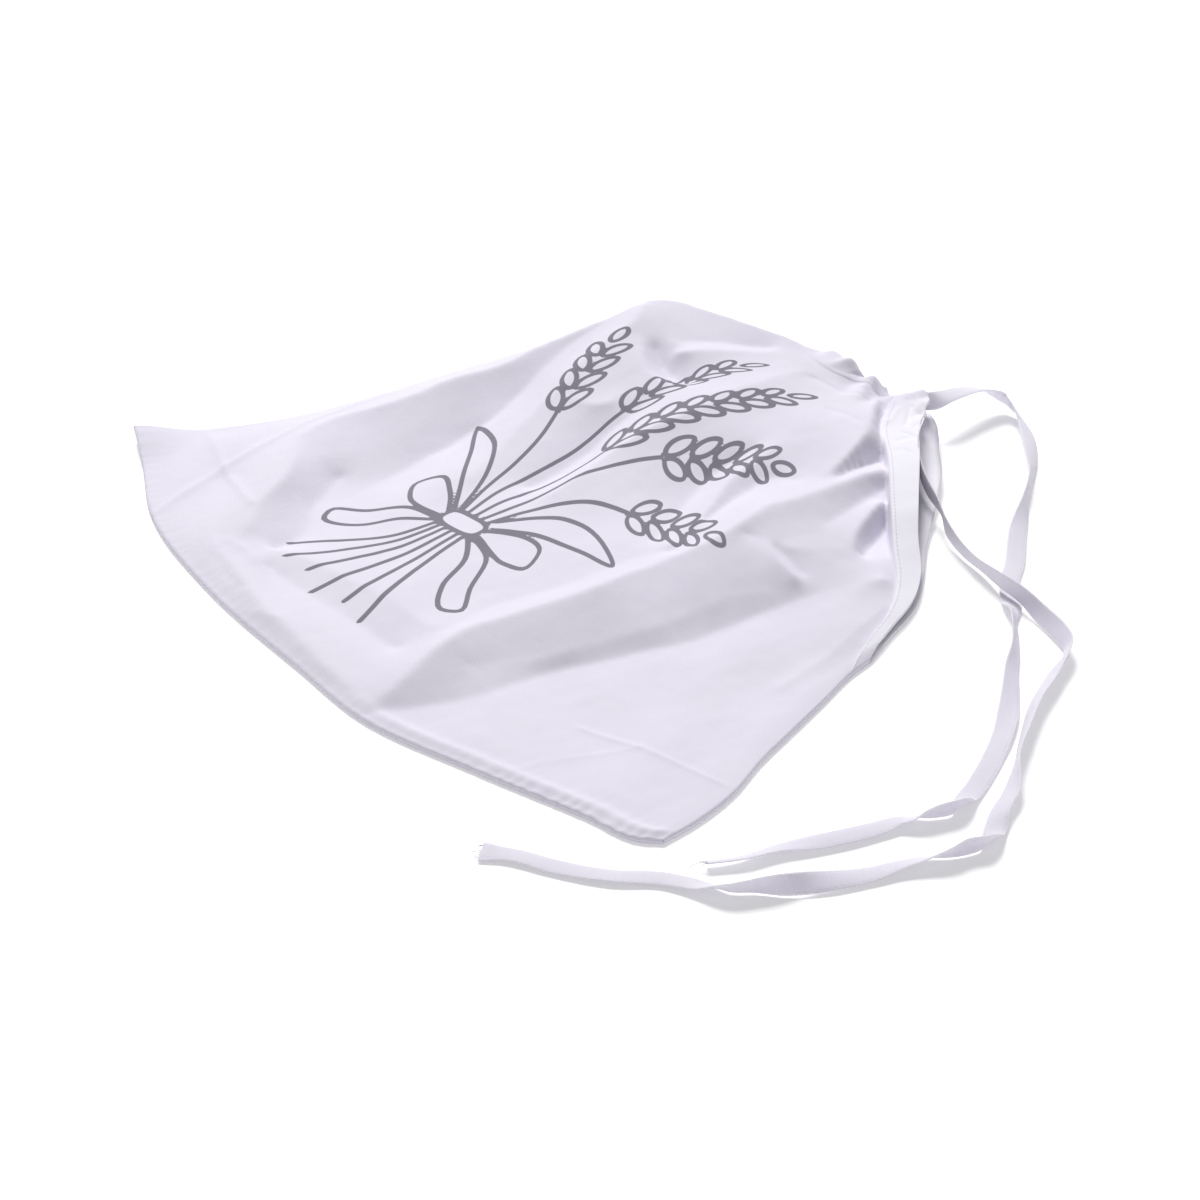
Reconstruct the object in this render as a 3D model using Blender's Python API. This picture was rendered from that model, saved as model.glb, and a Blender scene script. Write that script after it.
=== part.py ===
"""A drawstring bread bag of white cotton, lying empty on a table, with its two loose tie ends.

The bag is one hollow body: a front and a back layer of cloth, joined along the bottom and both sides and
open at the mouth, where a channel hem is turned down. Its left half is gathered on the tie, its right half
lies open beside the slot. Units are metres. +X runs along the bottom edge, +Y from the bottom to the mouth
and +Z up. The origin is on the table, under the middle of the bag.
"""

from typing import NamedTuple

import bpy
import numpy as np

MM = 0.001  # the tables below are in millimetres

# The cloth
CLOTH = 1.2 * MM  # thickness of one layer
LAYER_GAP = 0.4 * MM  # air between two layers that lie on each other
HEM_DEPTH = 14.0 * MM  # the channel that the tie runs in
HEM_EXTRA = 1.4 * MM  # what the turned-down cloth adds to the hem's thickness
HEM_STEP = 1.5 * MM  # width of the step down from the hem to the single cloth
HEM_END_RUN = 10.0 * MM  # the extra thickness comes in over this length from either side
MOUTH_LIFT_RUN = 6.0 * MM  # over this length the cloth goes from its folds to the hem's own height

# How the two layers round off where they are joined, and how the cloth rises from those edges
EDGE_ROUND = 1.6 * MM
INNER_INSET = 2.0 * MM
INSET_RUN = 3.0  # over this many insets the inner skin comes back under the outer one
SIDE_RISE_RUN = 14.0 * MM
BOTTOM_RISE_RUN = 30.0 * MM
BODY_LIFT = 2.5 * MM  # the empty bag keeps this much air between its layers
SOFT_FLOOR = 1.5 * MM  # troughs ease out this far above the back layer
STEEPEST = 2.2  # largest ratio of upright to true thickness on a steep flank

# The ties
TIE_WIDTH = 9.0 * MM
TIE_THICKNESS = 1.0 * MM
TIE_STEPS = 78

# Grid of one layer: across the bag, and from the bottom up to the hem and over it
COLUMNS = 50
BODY_ROWS = 25
EDGE_SHARES = (0.0, 0.0015, 0.006)  # the first columns and rows, which round the joined edges
HEM_CROWDING = 0.4  # spacing of the last rows below the hem, against even rows
HEM_ROWS = (0.0, 0.12, 0.45, 0.75, 0.92, 1.0)

WHITE = (0.86, 0.85, 0.90, 1.0)
COTTON_ROUGHNESS = 0.85


class Fold(NamedTuple):
    """One fold: a crest or trough along a run of points, in millimetres."""

    rise: float  # above the cloth round it, negative for a trough
    left: float  # reach of the flank on the left of its run
    right: float  # reach of the flank on the right
    crest: float  # radius of the rounded top
    fade: tuple[float, float]  # lengths over which its two ends die out
    run: tuple[tuple[float, float], ...]  # plan points it passes through


class Swell(NamedTuple):
    """One broad rise of the front layer, in millimetres."""

    x: float
    y: float
    rise: float
    across: float
    along: float
    turn: float  # degrees


# The middle of the bag's outline in the tables below, which comes to lie on the origin
MIDDLE = np.array((0.0, 4.7, 0.0)) * MM

# Plan outline of the lying bag: bottom edge from left to right, sides from bottom to mouth
BOTTOM_EDGE = ((-200, -128), (-174, -139), (-132, -159), (-60, -172), (14, -174), (60, -174),
               (119, -158), (169, -142), (193, -135), (200, -128))
LEFT_EDGE = ((-200, -128), (-183, -98), (-168, -60), (-160, -10), (-156, 40), (-150, 84), (-133, 120),
             (-104, 145), (-76, 158), (-58, 166), (-50, 178))
RIGHT_EDGE = ((200, -128), (199, -112), (194, -88), (184, -64), (176, -40), (168, -16), (161, 4), (158, 18))

# The mouth, from the left side seam over the gathers and the slot, then down the open half.
# share is the part of the hem's cloth used up; rise is the height above cloth lying flat.
MOUTH_COLUMNS = ("share", "front_x", "front_y", "front_rise", "back_x", "back_y", "back_rise")
MOUTH = ((0.000, -50, 178, 0, -50, 178, 0),
         (0.070, -40, 175, 10, -40, 177, 1),
         (0.140, -28, 171, 17, -28, 175, 1),
         (0.270, -10, 167, 16, -10, 174, 1),
         (0.400, 6, 168, 16, 7, 176, 1),
         (0.480, 19, 169, 16, 23, 181, 1),
         (0.570, 46, 146, 16, 50, 163, 0),
         (0.620, 63, 134, 16, 67, 149, 0),
         (0.725, 94, 106, 13, 99, 113, 0),
         (0.790, 113, 89, 10, 117, 91, 0),
         (0.845, 131, 74, 7, 132, 75, 0),
         (0.895, 143, 58, 5, 144, 57, 0),
         (0.950, 150, 36, 3, 150, 36, 0),
         (1.000, 158, 18, 0, 158, 18, 0))

# Lobes in which the gathered hem stands out past its line
LOBE_COLUMNS = ("share", "spread", "out")
LOBES = ((0.15, 0.060, 5.0),
         (0.35, 0.035, 3.0),
         (0.47, 0.030, 3.0))
LOBE_RUN = 26.0 * MM
GATHERS_END = 0.48  # share of the hem at which the gathers stop at the slot
GATHERS_BLEND = 0.06
ROLL = 0.5  # share of its height that the gathered hem loses as it rolls down to the rim
ROLL_RUN = 5.0 * MM

SWELLS = (
    Swell(-102, 86, 23, 30, 60, 14),  # far hump
    Swell(-34, 74, 12, 34, 92, 8),  # body under the middle ridge
    Swell(-2, 140, 16, 36, 30, 0),  # dome below the gathers
    Swell(60, 44, 7, 26, 80, 0),  # body under the near ridge
)

FOLDS = {
    "near ridge": Fold(14, 9, 20, 2, (90, 26),
                       ((60, -172), (54, -128), (55, -87), (65, -27), (68, 10), (62, 42), (59, 62), (60, 88))),
    "middle ridge": Fold(12, 9, 28, 2.5, (35, 40),
                         ((-31, -46), (-18, -18), (-16, 4), (-24, 33), (-38, 63), (-45, 90), (-40, 130))),
    "valley behind the middle ridge": Fold(-12, 8, 7, 4, (60, 10),
                                           ((-54, -10), (-60, 20), (-64, 50), (-66, 88))),
    "hump crest": Fold(7, 14, 12, 3, (24, 25),
                       ((-95, -26), (-91, 0), (-91, 35), (-98, 72), (-114, 112))),
    "outline crest": Fold(9, 9, 12, 4, (40, 30),
                          ((-160, -62), (-147, -20), (-141, 30), (-133, 72), (-120, 108))),
    "hump dent": Fold(-7, 8, 6, 3, (12, 14),
                      ((-97, 107), (-92, 99), (-78, 91), (-60, 93))),
    "crest from hump to gathers": Fold(6, 10, 8, 3, (14, 20),
                                       ((-76, 98), (-62, 112), (-40, 142))),
    "small crest over the valley": Fold(5, 5, 5, 2.5, (8, 8),
                                        ((-66, 62), (-58, 82), (-50, 92))),
    "foot of the middle ridge": Fold(-6, 14, 12, 5, (30, 25),
                                     ((0, -6), (6, 22), (13, 48), (4, 78))),
    "slim ridge": Fold(8, 7, 8, 2, (15, 15),
                       ((28, 36), (26, 62), (27, 90), (22, 122))),
    "foot of the dome": Fold(-4, 8, 8, 3, (12, 10),
                             ((24, 66), (37, 77), (50, 81), (46, 112))),
    "pocket at the slot": Fold(-8, 5, 6, 3, (14, 8),
                               ((48, 106), (40, 124), (32, 138), (26, 152))),
    "ridge to the hem": Fold(8, 7, 7, 2, (22, 5),
                             ((58, 60), (57, 80), (59, 98), (62, 118))),
    "valley below it": Fold(-3.5, 8, 9, 3, (20, 8),
                            ((78, 36), (69, 68), (68, 98), (70, 112))),
    "hem side ridge": Fold(10, 7, 7, 2, (10, 10),
                           ((116, 50), (105, 57), (94, 70), (86, 86), (80, 102))),
    "side ridge's root": Fold(6, 9, 8, 2, (14, 10),
                              ((80, 28), (88, 46), (94, 62))),
    "pocket at the hem": Fold(-7.5, 7, 7, 3, (12, 10),
                              ((118, 60), (109, 67), (100, 77), (92, 90))),
    "bent fold": Fold(6, 7, 5, 2, (12, 8),
                      ((62, 22), (80, 28), (94, 26), (101, 28))),
    "valley right of the near ridge": Fold(-4, 12, 10, 5, (40, 10),
                                           ((90, -110), (94, -60), (98, -20), (101, 4), (104, 20))),
    "right ridge": Fold(8, 8, 16, 2, (40, 6),
                        ((106, -40), (111, -8), (118, 14), (123, 32), (130, 56))),
    "left curl": Fold(3, 14, 16, 5, (20, 40),
                      ((-141, -108), (-117, -134), (-70, -152), (5, -140), (48, -128))),
    "left slope": Fold(-3, 12, 12, 6, (30, 30),
                       ((-130, -50), (-122, 0), (-118, 40))),
    "puff": Fold(6, 9, 8, 4, (26, 3),
                 ((-54, 128), (-34, 150), (-27, 166))),
    "gather crease": Fold(-9, 4, 4, 2, (16, 4),
                          ((-7, 140), (-8, 154), (-10, 172))),
    "bump": Fold(5, 5, 5, 3, (14, 3),
                 ((4, 142), (4, 158), (5, 170))),
    "slot crease": Fold(-6, 4, 5, 2, (12, 4),
                        ((17, 146), (14, 156), (13, 172))),
    "pressed crease along the left side": Fold(1.5, 5, 5, 1, (10, 30),
                                               ((-130, -158), (-141, -114), (-148, -64), (-147, -14))),
    "pressed crease along the bottom, left": Fold(1.5, 5, 5, 1, (6, 20),
                                                  ((-181, -99), (-141, -114), (-100, -125))),
    "pressed crease along the bottom, right": Fold(1.5, 5, 5, 1, (12, 6),
                                                   ((96, -117), (148, -98), (193, -86))),
}

# The corner flap that a pressed crease bends up
CORNER = (-200 * MM, -128 * MM)
CORNER_LIFT = 5.0 * MM
CORNER_REACH = 34.0 * MM

# Tie routes from the slot to the free end: plan point, height of the tie's middle line, and turn, the
# angle between its flat side and the table
TIE_COLUMNS = ("x", "y", "z", "turn")
TIE_UPPER = ((24, 170, 17.3, 32), (31, 174, 18, 53), (32, 182, 18, 18), (32, 192, 17.2, 3),
             (32, 203, 15, -12), (34, 211, 12, -35), (38, 216, 8.6, -62), (45, 216, 6.2, -62),
             (55, 212, 4.7, -47), (67, 204, 4.5, -34), (83, 190, 4.6, -47), (94, 179, 5, -72),
             (110, 159, 4.8, -69), (125, 139, 2.4, -19), (141, 121, 1, 0), (149, 110, 1, 0),
             (156, 103, 1, 0), (163, 97, 1.5, -7), (174, 87, 4.8, -66), (184, 78, 5, -69),
             (193, 69, 4.7, -64), (201, 59, 4.2, -49), (214, 45, 2.9, -26), (227, 29, 1.6, 8),
             (240, 8, 1, 0), (248, -8, 1, 0), (252, -18, 1.9, 12), (256, -27, 4.9, 72), (254, -34, 4.9, 72),
             (252, -39, 4.5, 58), (250, -43, 3.3, 33), (246, -49, 2.2, 16), (245, -55, 2, 6),
             (241, -71, 2.4, -2), (237, -82, 2.4, -1), (231, -95, 2.3, 18), (227, -112, 2.9, 27),
             (221, -124, 2.9, 26))
TIE_LOWER = ((43, 155, 17.2, 62), (53, 144, 16.9, 84), (62, 136, 15.9, 90), (72, 129, 14, 91),
             (83, 123, 12.5, 93), (96, 118, 10.3, 104), (108, 111, 8, 94), (120, 107, 6.2, 100),
             (138, 103, 6, 111), (152, 100, 7.3, 98), (166, 99, 7.3, 88), (180, 97, 5.2, 66),
             (194, 94, 4.5, 56), (203, 90, 4.8, 68), (213, 72, 4.1, 48), (225, 48, 4.4, 54),
             (237, 30, 4.7, 65), (250, 12, 5, 75), (261, -2, 3.5, 36), (267, -14, 2.8, 25),
             (274, -24, 1.6, 8), (279, -34, 4.8, 70), (277, -41, 5, 84), (275, -49, 4.6, 62),
             (271, -57, 3.4, 34), (267, -66, 2.4, 20), (264, -78, 1.9, 3), (257, -98, 3.6, -29),
             (251, -111, 4.8, -69), (245, -120, 5, -103), (239, -129, 4.5, -124), (230, -134, 2.4, -161),
             (218, -141, 1.4, -174), (203, -157, 1.6, -171), (185, -170, 1.3, -176), (172, -177, 1.5, -173),
             (161, -186, 1.2, -183))


def column(table: tuple, names: tuple, name: str) -> np.ndarray:
    """One named column of a table."""
    return np.array([row[names.index(name)] for row in table], float)


def smooth_curve(points: np.ndarray, at: np.ndarray, shares: np.ndarray | None = None) -> np.ndarray:
    """Cubic curve through the points, read at shares of its length (or at the shares given)."""
    points = np.asarray(points, float)
    if shares is None:
        steps = np.linalg.norm(np.diff(points[:, :2], axis=0), axis=1)
        shares = np.concatenate(([0.0], np.cumsum(steps))) / steps.sum()
    slopes = np.gradient(points, shares, axis=0)
    at = np.clip(np.asarray(at, float), 0.0, 1.0)
    i = np.clip(np.searchsorted(shares, at, side="right") - 1, 0, len(shares) - 2)
    span = shares[i + 1] - shares[i]
    f = ((at - shares[i]) / span)[..., None]
    span = span[..., None]
    start = (1 + 2 * f) * (1 - f) ** 2 * points[i] + f * (1 - f) ** 2 * span * slopes[i]
    end = f ** 2 * (3 - 2 * f) * points[i + 1] + f ** 2 * (f - 1) * span * slopes[i + 1]
    return start + end


def smooth_step(x: np.ndarray) -> np.ndarray:
    """0 below 0, 1 above 1, and an even S between."""
    x = np.clip(x, 0.0, 1.0)
    return x * x * (3 - 2 * x)


def mouth_line(layer: str, across: np.ndarray) -> tuple[np.ndarray, np.ndarray]:
    """Plan points and rise of one layer's mouth at shares of the hem's cloth."""
    shares = column(MOUTH, MOUTH_COLUMNS, "share")
    table = np.stack([column(MOUTH, MOUTH_COLUMNS, f"{layer}_{part}") for part in ("x", "y", "rise")], axis=1)
    line = smooth_curve(table * MM, across, shares)
    return line[..., :2], np.maximum(line[..., 2], 0.0)


def layer_plan(layer: str, across: np.ndarray, up: np.ndarray) -> tuple[np.ndarray, np.ndarray]:
    """Plan points of a layer, a Coons patch between its four edges, and the distance left to the mouth.

    The gathered lobes are added near the mouth, square to the hem's line.
    """
    bottom = smooth_curve(BOTTOM_EDGE, across) * MM
    mouth, _ = mouth_line(layer, across)
    left = smooth_curve(LEFT_EDGE, up) * MM
    right = smooth_curve(RIGHT_EDGE, up) * MM
    s, t = across[..., None], up[..., None]
    corners = [np.array(edge[end], float) * MM for edge in (LEFT_EDGE, RIGHT_EDGE) for end in (0, -1)]
    flat = ((1 - s) * (1 - t) * corners[0] + (1 - s) * t * corners[1]
            + s * (1 - t) * corners[2] + s * t * corners[3])
    plan = (1 - t) * bottom + t * mouth + (1 - s) * left + s * right - flat
    to_mouth = (1 - up) * np.linalg.norm(mouth - bottom, axis=-1)
    ahead, _ = mouth_line(layer, np.clip(across + 0.01, 0, 1))
    behind, _ = mouth_line(layer, np.clip(across - 0.01, 0, 1))
    along = ahead - behind
    square = np.stack((-along[..., 1], along[..., 0]), axis=-1)
    square /= np.linalg.norm(square, axis=-1, keepdims=True)
    out = sum(reach * MM * np.exp(-((across - share) / spread) ** 2) for share, spread, reach in LOBES)
    return plan + square * (out * smooth_step(1 - to_mouth / LOBE_RUN))[..., None], to_mouth


def edge_distance(plan_width: np.ndarray, across: np.ndarray, up: np.ndarray, length: np.ndarray) -> tuple:
    """Distances to the left, right and bottom edge."""
    return across * plan_width, (1 - across) * plan_width, up * length


def fold_rise(fold: Fold, plan: np.ndarray) -> np.ndarray:
    """Height of one fold: a rounded tent over the distance to its run, dying out at both ends."""
    run = smooth_curve(np.array(fold.run) * MM, np.linspace(0, 1, 4 * len(fold.run)))
    steps = np.diff(run, axis=0)
    lengths = np.linalg.norm(steps, axis=1)
    starts = np.concatenate(([0.0], np.cumsum(lengths)[:-1]))
    nearest = np.full(plan.shape[:-1], np.inf)
    place = np.zeros_like(nearest)
    side = np.zeros_like(nearest)
    for origin, step, length, start in zip(run[:-1], steps, lengths, starts):
        to_point = plan - origin
        ratio = np.clip(to_point @ step / length ** 2, 0.0, 1.0)
        distance = np.linalg.norm(to_point - ratio[..., None] * step, axis=-1)
        closer = distance < nearest
        nearest = np.where(closer, distance, nearest)
        place = np.where(closer, start + ratio * length, place)
        turn = step[0] * to_point[..., 1] - step[1] * to_point[..., 0]
        side = np.where(closer, turn, side)
    crest = fold.crest * MM
    reach = np.where(side > 0, fold.left, fold.right) * MM
    tent = np.exp(-(np.sqrt(nearest ** 2 + crest ** 2) - crest) / reach)
    ends = smooth_step(place / (fold.fade[0] * MM)) * smooth_step((lengths.sum() - place) / (fold.fade[1] * MM))
    return fold.rise * MM * tent * ends


def swell_rise(swell: Swell, plan: np.ndarray) -> np.ndarray:
    """Height of one broad swell: a bell over a turned ellipse."""
    angle = np.radians(swell.turn)
    dx = plan[..., 0] - swell.x * MM
    dy = plan[..., 1] - swell.y * MM
    across = (dx * np.cos(angle) + dy * np.sin(angle)) / (swell.across * MM)
    along = (dy * np.cos(angle) - dx * np.sin(angle)) / (swell.along * MM)
    return swell.rise * MM * np.exp(-across ** 2 - along ** 2)


def corner_rise(plan: np.ndarray) -> np.ndarray:
    """Lift of both layers at the bent-up corner."""
    away = np.linalg.norm(plan - np.array(CORNER), axis=-1)
    return CORNER_LIFT * smooth_step(1 - away / CORNER_REACH)


def rises(layer: str, across: np.ndarray, up: np.ndarray) -> tuple[np.ndarray, np.ndarray, np.ndarray]:
    """Plan points, rise above flat cloth and hem share of one layer."""
    plan, to_mouth = layer_plan(layer, across, up)
    _, mouth_rise = mouth_line(layer, across)
    width = np.linalg.norm(smooth_curve(LEFT_EDGE, up) - smooth_curve(RIGHT_EDGE, up), axis=-1) * MM
    mouth, _ = mouth_line(layer, across)
    length = np.linalg.norm(mouth - smooth_curve(BOTTOM_EDGE, across) * MM, axis=-1)
    from_left, from_right, from_bottom = edge_distance(width, across, up, length)
    hem = smooth_step((HEM_DEPTH + HEM_STEP - to_mouth) / HEM_STEP)
    hem = hem * smooth_step(np.minimum(from_left, from_right) / HEM_END_RUN)
    near_mouth = smooth_step((HEM_DEPTH + MOUTH_LIFT_RUN - to_mouth) / MOUTH_LIFT_RUN)
    if layer == "back":
        near_mouth = smooth_step(1 - to_mouth / (3 * HEM_DEPTH))
        return plan, mouth_rise * near_mouth, hem
    inside = ((1 - np.exp(-(from_left / SIDE_RISE_RUN) ** 2)) * (1 - np.exp(-(from_right / SIDE_RISE_RUN) ** 2))
              * (1 - np.exp(-(from_bottom / BOTTOM_RISE_RUN) ** 2)))
    body = BODY_LIFT + sum(swell_rise(swell, plan) for swell in SWELLS)
    open_half = smooth_step((across - GATHERS_END + GATHERS_BLEND) / GATHERS_BLEND)
    folds = sum(fold_rise(fold, plan) for fold in FOLDS.values())
    edges = (1 - np.exp(-from_left / EDGE_ROUND / 2)) * (1 - np.exp(-from_right / EDGE_ROUND / 2))
    edges = edges * (1 - np.exp(-from_bottom / EDGE_ROUND / 2))
    roll = ROLL * np.exp(-(to_mouth / ROLL_RUN) ** 2) * (1 - open_half)
    level = body * inside * (1 - near_mouth) + mouth_rise * near_mouth
    level = (level + folds * edges * (1 - near_mouth * open_half)) * (1 - roll)
    return plan, (level + np.sqrt(level ** 2 + SOFT_FLOOR ** 2)) / 2 * edges, hem


def upright_ratio(plan: np.ndarray, height: np.ndarray) -> np.ndarray:
    """Upright thickness over true thickness, from the slope of the layer's grid."""
    points = np.concatenate((plan, height[..., None]), axis=-1)
    normal = np.cross(np.gradient(points, axis=0), np.gradient(points, axis=1))
    size = np.linalg.norm(normal, axis=-1)
    return np.minimum(size / np.maximum(np.abs(normal[..., 2]), 1e-12), STEEPEST)


def grid_shares() -> tuple[np.ndarray, np.ndarray]:
    """Grid of shares across the cloth and up to the mouth, fine at its edges and towards the hem."""
    even = np.linspace(0, 1, COLUMNS - 2 * len(EDGE_SHARES) + 2)[1:-1]
    across = np.concatenate((EDGE_SHARES, even, 1 - np.array(EDGE_SHARES[::-1])))
    mouth, _ = mouth_line("front", across)
    length = np.linalg.norm(mouth - smooth_curve(BOTTOM_EDGE, across) * MM, axis=-1)
    body_top = 1 - (HEM_DEPTH + HEM_STEP) / length
    left_over = 1 - np.linspace(0, 1, BODY_ROWS - len(EDGE_SHARES) + 1)[1:]
    crowded = 1 - left_over * (HEM_CROWDING + (1 - HEM_CROWDING) * left_over)
    rows = [share * body_top for share in (*EDGE_SHARES, *crowded)]
    rows += [body_top + share * (1 - body_top) for share in HEM_ROWS[1:]]
    up = np.stack(rows, axis=0)
    return np.broadcast_to(across, up.shape).copy(), up


def inset_share(share: np.ndarray, inset: np.ndarray) -> np.ndarray:
    """Shares for the inner skin: the edge moves in by the inset, and the rest stays under the outer skin."""
    run = INSET_RUN * inset
    return np.where(share < run, inset + share * (1 - inset / run), share)


def skin_points(layer: str, skin: str, across: np.ndarray, up: np.ndarray) -> np.ndarray:
    """Points of the outer or inner skin of one layer."""
    width = np.linalg.norm(smooth_curve(LEFT_EDGE, up) - smooth_curve(RIGHT_EDGE, up), axis=-1) * MM
    mouth, _ = mouth_line(layer, across)
    length = np.linalg.norm(mouth - smooth_curve(BOTTOM_EDGE, across) * MM, axis=-1)
    if skin == "inner":
        across = inset_share(across, INNER_INSET / width)
        across = 1 - inset_share(1 - across, INNER_INSET / width)
        up = inset_share(up, INNER_INSET / length)
    plan, rise, hem = rises(layer, across, up)
    from_left, from_right, from_bottom = edge_distance(width, across, up, length)
    edge = np.minimum(np.minimum(from_left, from_right), from_bottom)
    half = LAYER_GAP / 2
    if skin == "inner":
        edge = edge - INNER_INSET
    else:
        half = half + CLOTH
    rounding = np.sqrt(1 - (1 - np.clip(edge / EDGE_ROUND, 0, 1)) ** 2)
    middle = CLOTH + LAYER_GAP / 2 + corner_rise(plan) + rise
    up_sign = 1.0 if layer == "front" else -1.0
    height = middle + up_sign * half * rounding
    extra = upright_ratio(plan, height) - 1
    if layer == "front" and skin == "inner":
        height = height - CLOTH * extra * rounding
    if layer == "back" and skin == "inner":
        height = height + (CLOTH * extra + HEM_EXTRA * hem) * rounding
    if layer == "front" and skin == "outer":
        height = height + HEM_EXTRA * hem * rounding
    return np.concatenate((plan, height[..., None]), axis=-1)


def cell_triangles(net: np.ndarray, layer: np.ndarray) -> np.ndarray:
    """Two triangles for each cell of a grid, split along the layer's shorter diagonal."""
    rising = np.linalg.norm(layer[1:, 1:] - layer[:-1, :-1], axis=-1)
    falling = np.linalg.norm(layer[1:, :-1] - layer[:-1, 1:], axis=-1)
    a, b, c, d = net[:-1, :-1], net[:-1, 1:], net[1:, 1:], net[1:, :-1]
    one = np.where((rising <= falling)[..., None], np.stack((a, b, c), -1), np.stack((a, b, d), -1))
    two = np.where((rising <= falling)[..., None], np.stack((a, c, d), -1), np.stack((b, c, d), -1))
    return np.concatenate((one.reshape(-1, 3), two.reshape(-1, 3)))


def shell_mesh() -> tuple[np.ndarray, list]:
    """Vertices and faces of the bag's closed body: four skins, sewn at the edges and round the mouth."""
    across, up = grid_shares()
    rows, columns = across.shape
    skins = [(layer, skin) for skin in ("outer", "inner") for layer in ("front", "back")]
    points = np.stack([skin_points(layer, skin, across, up) for layer, skin in skins])
    for outer, inner in ((0, 1), (2, 3)):
        joined = (points[outer] + points[inner]) / 2
        for edge in (np.s_[:, 0], np.s_[:, -1], np.s_[0, :]):
            points[outer][edge] = joined[edge]
            points[inner][edge] = joined[edge]
    index = np.arange(4 * rows * columns).reshape(4, rows, columns)
    for outer, inner in ((0, 1), (2, 3)):
        for edge in (np.s_[:, 0], np.s_[:, -1], np.s_[0, :]):
            index[inner][edge] = index[outer][edge]
    faces = []
    for number, turned in ((0, False), (1, True), (2, True), (3, False)):
        triangles = cell_triangles(index[number], points[number % 2])
        faces += (triangles[:, ::-1] if turned else triangles).tolist()
    for outer, inner, turned in ((0, 2, False), (1, 3, True)):
        high, low = index[outer][-1], index[inner][-1]
        quads = np.stack((high[:-1], high[1:], low[1:], low[:-1]), axis=-1)
        faces += (quads[:, ::-1] if turned else quads).tolist()
    return points.reshape(-1, 3) - MIDDLE, faces


def tie_mesh(route: tuple) -> tuple[np.ndarray, list]:
    """Vertices and faces of one flat tie: a thin rectangle carried along its route and turned about it."""
    table = np.stack([column(route, TIE_COLUMNS, name) for name in TIE_COLUMNS], axis=1)
    shares = np.linspace(0, 1, TIE_STEPS)
    line = smooth_curve(table * (MM, MM, MM, 1.0), shares)
    middle, turn = line[:, :3], np.radians(line[:, 3])
    along = np.gradient(middle, axis=0)
    along /= np.linalg.norm(along, axis=1, keepdims=True)
    level = np.cross(np.array((0.0, 0.0, 1.0)), along)
    level /= np.linalg.norm(level, axis=1, keepdims=True)
    over = np.cross(along, level)
    wide = np.cos(turn)[:, None] * level + np.sin(turn)[:, None] * over
    thick = np.cross(along, wide)
    corners = ((-1, -1), (1, -1), (1, 1), (-1, 1))
    rings = [middle + wide * (a * TIE_WIDTH / 2) + thick * (b * TIE_THICKNESS / 2) for a, b in corners]
    points = np.stack(rings, axis=1)
    lift = np.maximum(LAYER_GAP - points[..., 2].min(axis=1), 0.0)
    points[..., 2] += lift[:, None]
    index = np.arange(4 * TIE_STEPS).reshape(TIE_STEPS, 4)
    faces = [index[0, ::-1].tolist(), index[-1].tolist()]
    for side in range(4):
        ahead = (side + 1) % 4
        faces += np.stack((index[:-1, side], index[:-1, ahead], index[1:, ahead], index[1:, side]), -1).tolist()
    return points.reshape(-1, 3) - MIDDLE, faces


def cotton(name: str) -> bpy.types.Material:
    """Plain white cotton."""
    material = bpy.data.materials.new(name)
    material.use_nodes = True
    surface = material.node_tree.nodes["Principled BSDF"]
    surface.inputs["Base Color"].default_value = WHITE
    surface.inputs["Roughness"].default_value = COTTON_ROUGHNESS
    surface.inputs["Metallic"].default_value = 0.0
    return material


def add_piece(name: str, points: np.ndarray, faces: list, material: bpy.types.Material) -> bpy.types.Object:
    """One named piece from its points and faces."""
    mesh = bpy.data.meshes.new(name)
    mesh.from_pydata(points.tolist(), [], faces)
    mesh.materials.append(material)
    mesh.shade_smooth()
    piece = bpy.data.objects.new(name, mesh)
    bpy.context.scene.collection.objects.link(piece)
    return piece


def main() -> None:
    """Clear the scene and make the bag and its two tie ends."""
    for thing in list(bpy.data.objects):
        bpy.data.objects.remove(thing)
    add_piece("bag_cloth", *shell_mesh(), cotton("bag cotton"))
    add_piece("tie_upper", *tie_mesh(TIE_UPPER), cotton("tie cotton upper"))
    add_piece("tie_lower", *tie_mesh(TIE_LOWER), cotton("tie cotton lower"))


main()
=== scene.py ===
"""A drawstring bread bag of white cotton, lying empty on a pale table with its two tie ends beside it.

Units are metres. +X runs along the bottom edge, +Y from the bottom to the mouth and +Z up. Every surface of
the bag is a function of two shares: how far across the cloth a point lies, and how far up towards the mouth.
"""

import logging
from collections.abc import Sequence
from dataclasses import dataclass
from enum import Enum

import bpy
import numpy as np
from mathutils import Matrix, Vector


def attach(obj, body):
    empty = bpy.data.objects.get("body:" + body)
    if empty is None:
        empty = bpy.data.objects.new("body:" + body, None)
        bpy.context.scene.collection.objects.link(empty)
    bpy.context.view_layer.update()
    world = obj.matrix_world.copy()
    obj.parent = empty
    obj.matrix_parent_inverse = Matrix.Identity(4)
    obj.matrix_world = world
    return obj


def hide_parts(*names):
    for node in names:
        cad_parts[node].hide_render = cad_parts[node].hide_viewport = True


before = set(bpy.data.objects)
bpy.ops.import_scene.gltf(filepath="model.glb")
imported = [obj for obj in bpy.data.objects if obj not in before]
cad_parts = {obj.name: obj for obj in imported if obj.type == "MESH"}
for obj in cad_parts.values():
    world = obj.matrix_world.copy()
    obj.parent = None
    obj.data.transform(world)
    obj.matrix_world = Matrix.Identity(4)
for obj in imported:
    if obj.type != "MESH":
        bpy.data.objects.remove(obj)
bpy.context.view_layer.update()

MM = 0.001  # the tables below are in millimetres
MIDDLE = np.array((0.0, 4.7, 0.0)) * MM  # the outline's middle in the tables, which lies on the origin
LOG = logging.getLogger("bread_bag")


class Layer(Enum):
    """The two layers of the bag."""

    FRONT = "front"
    BACK = "back"


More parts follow.
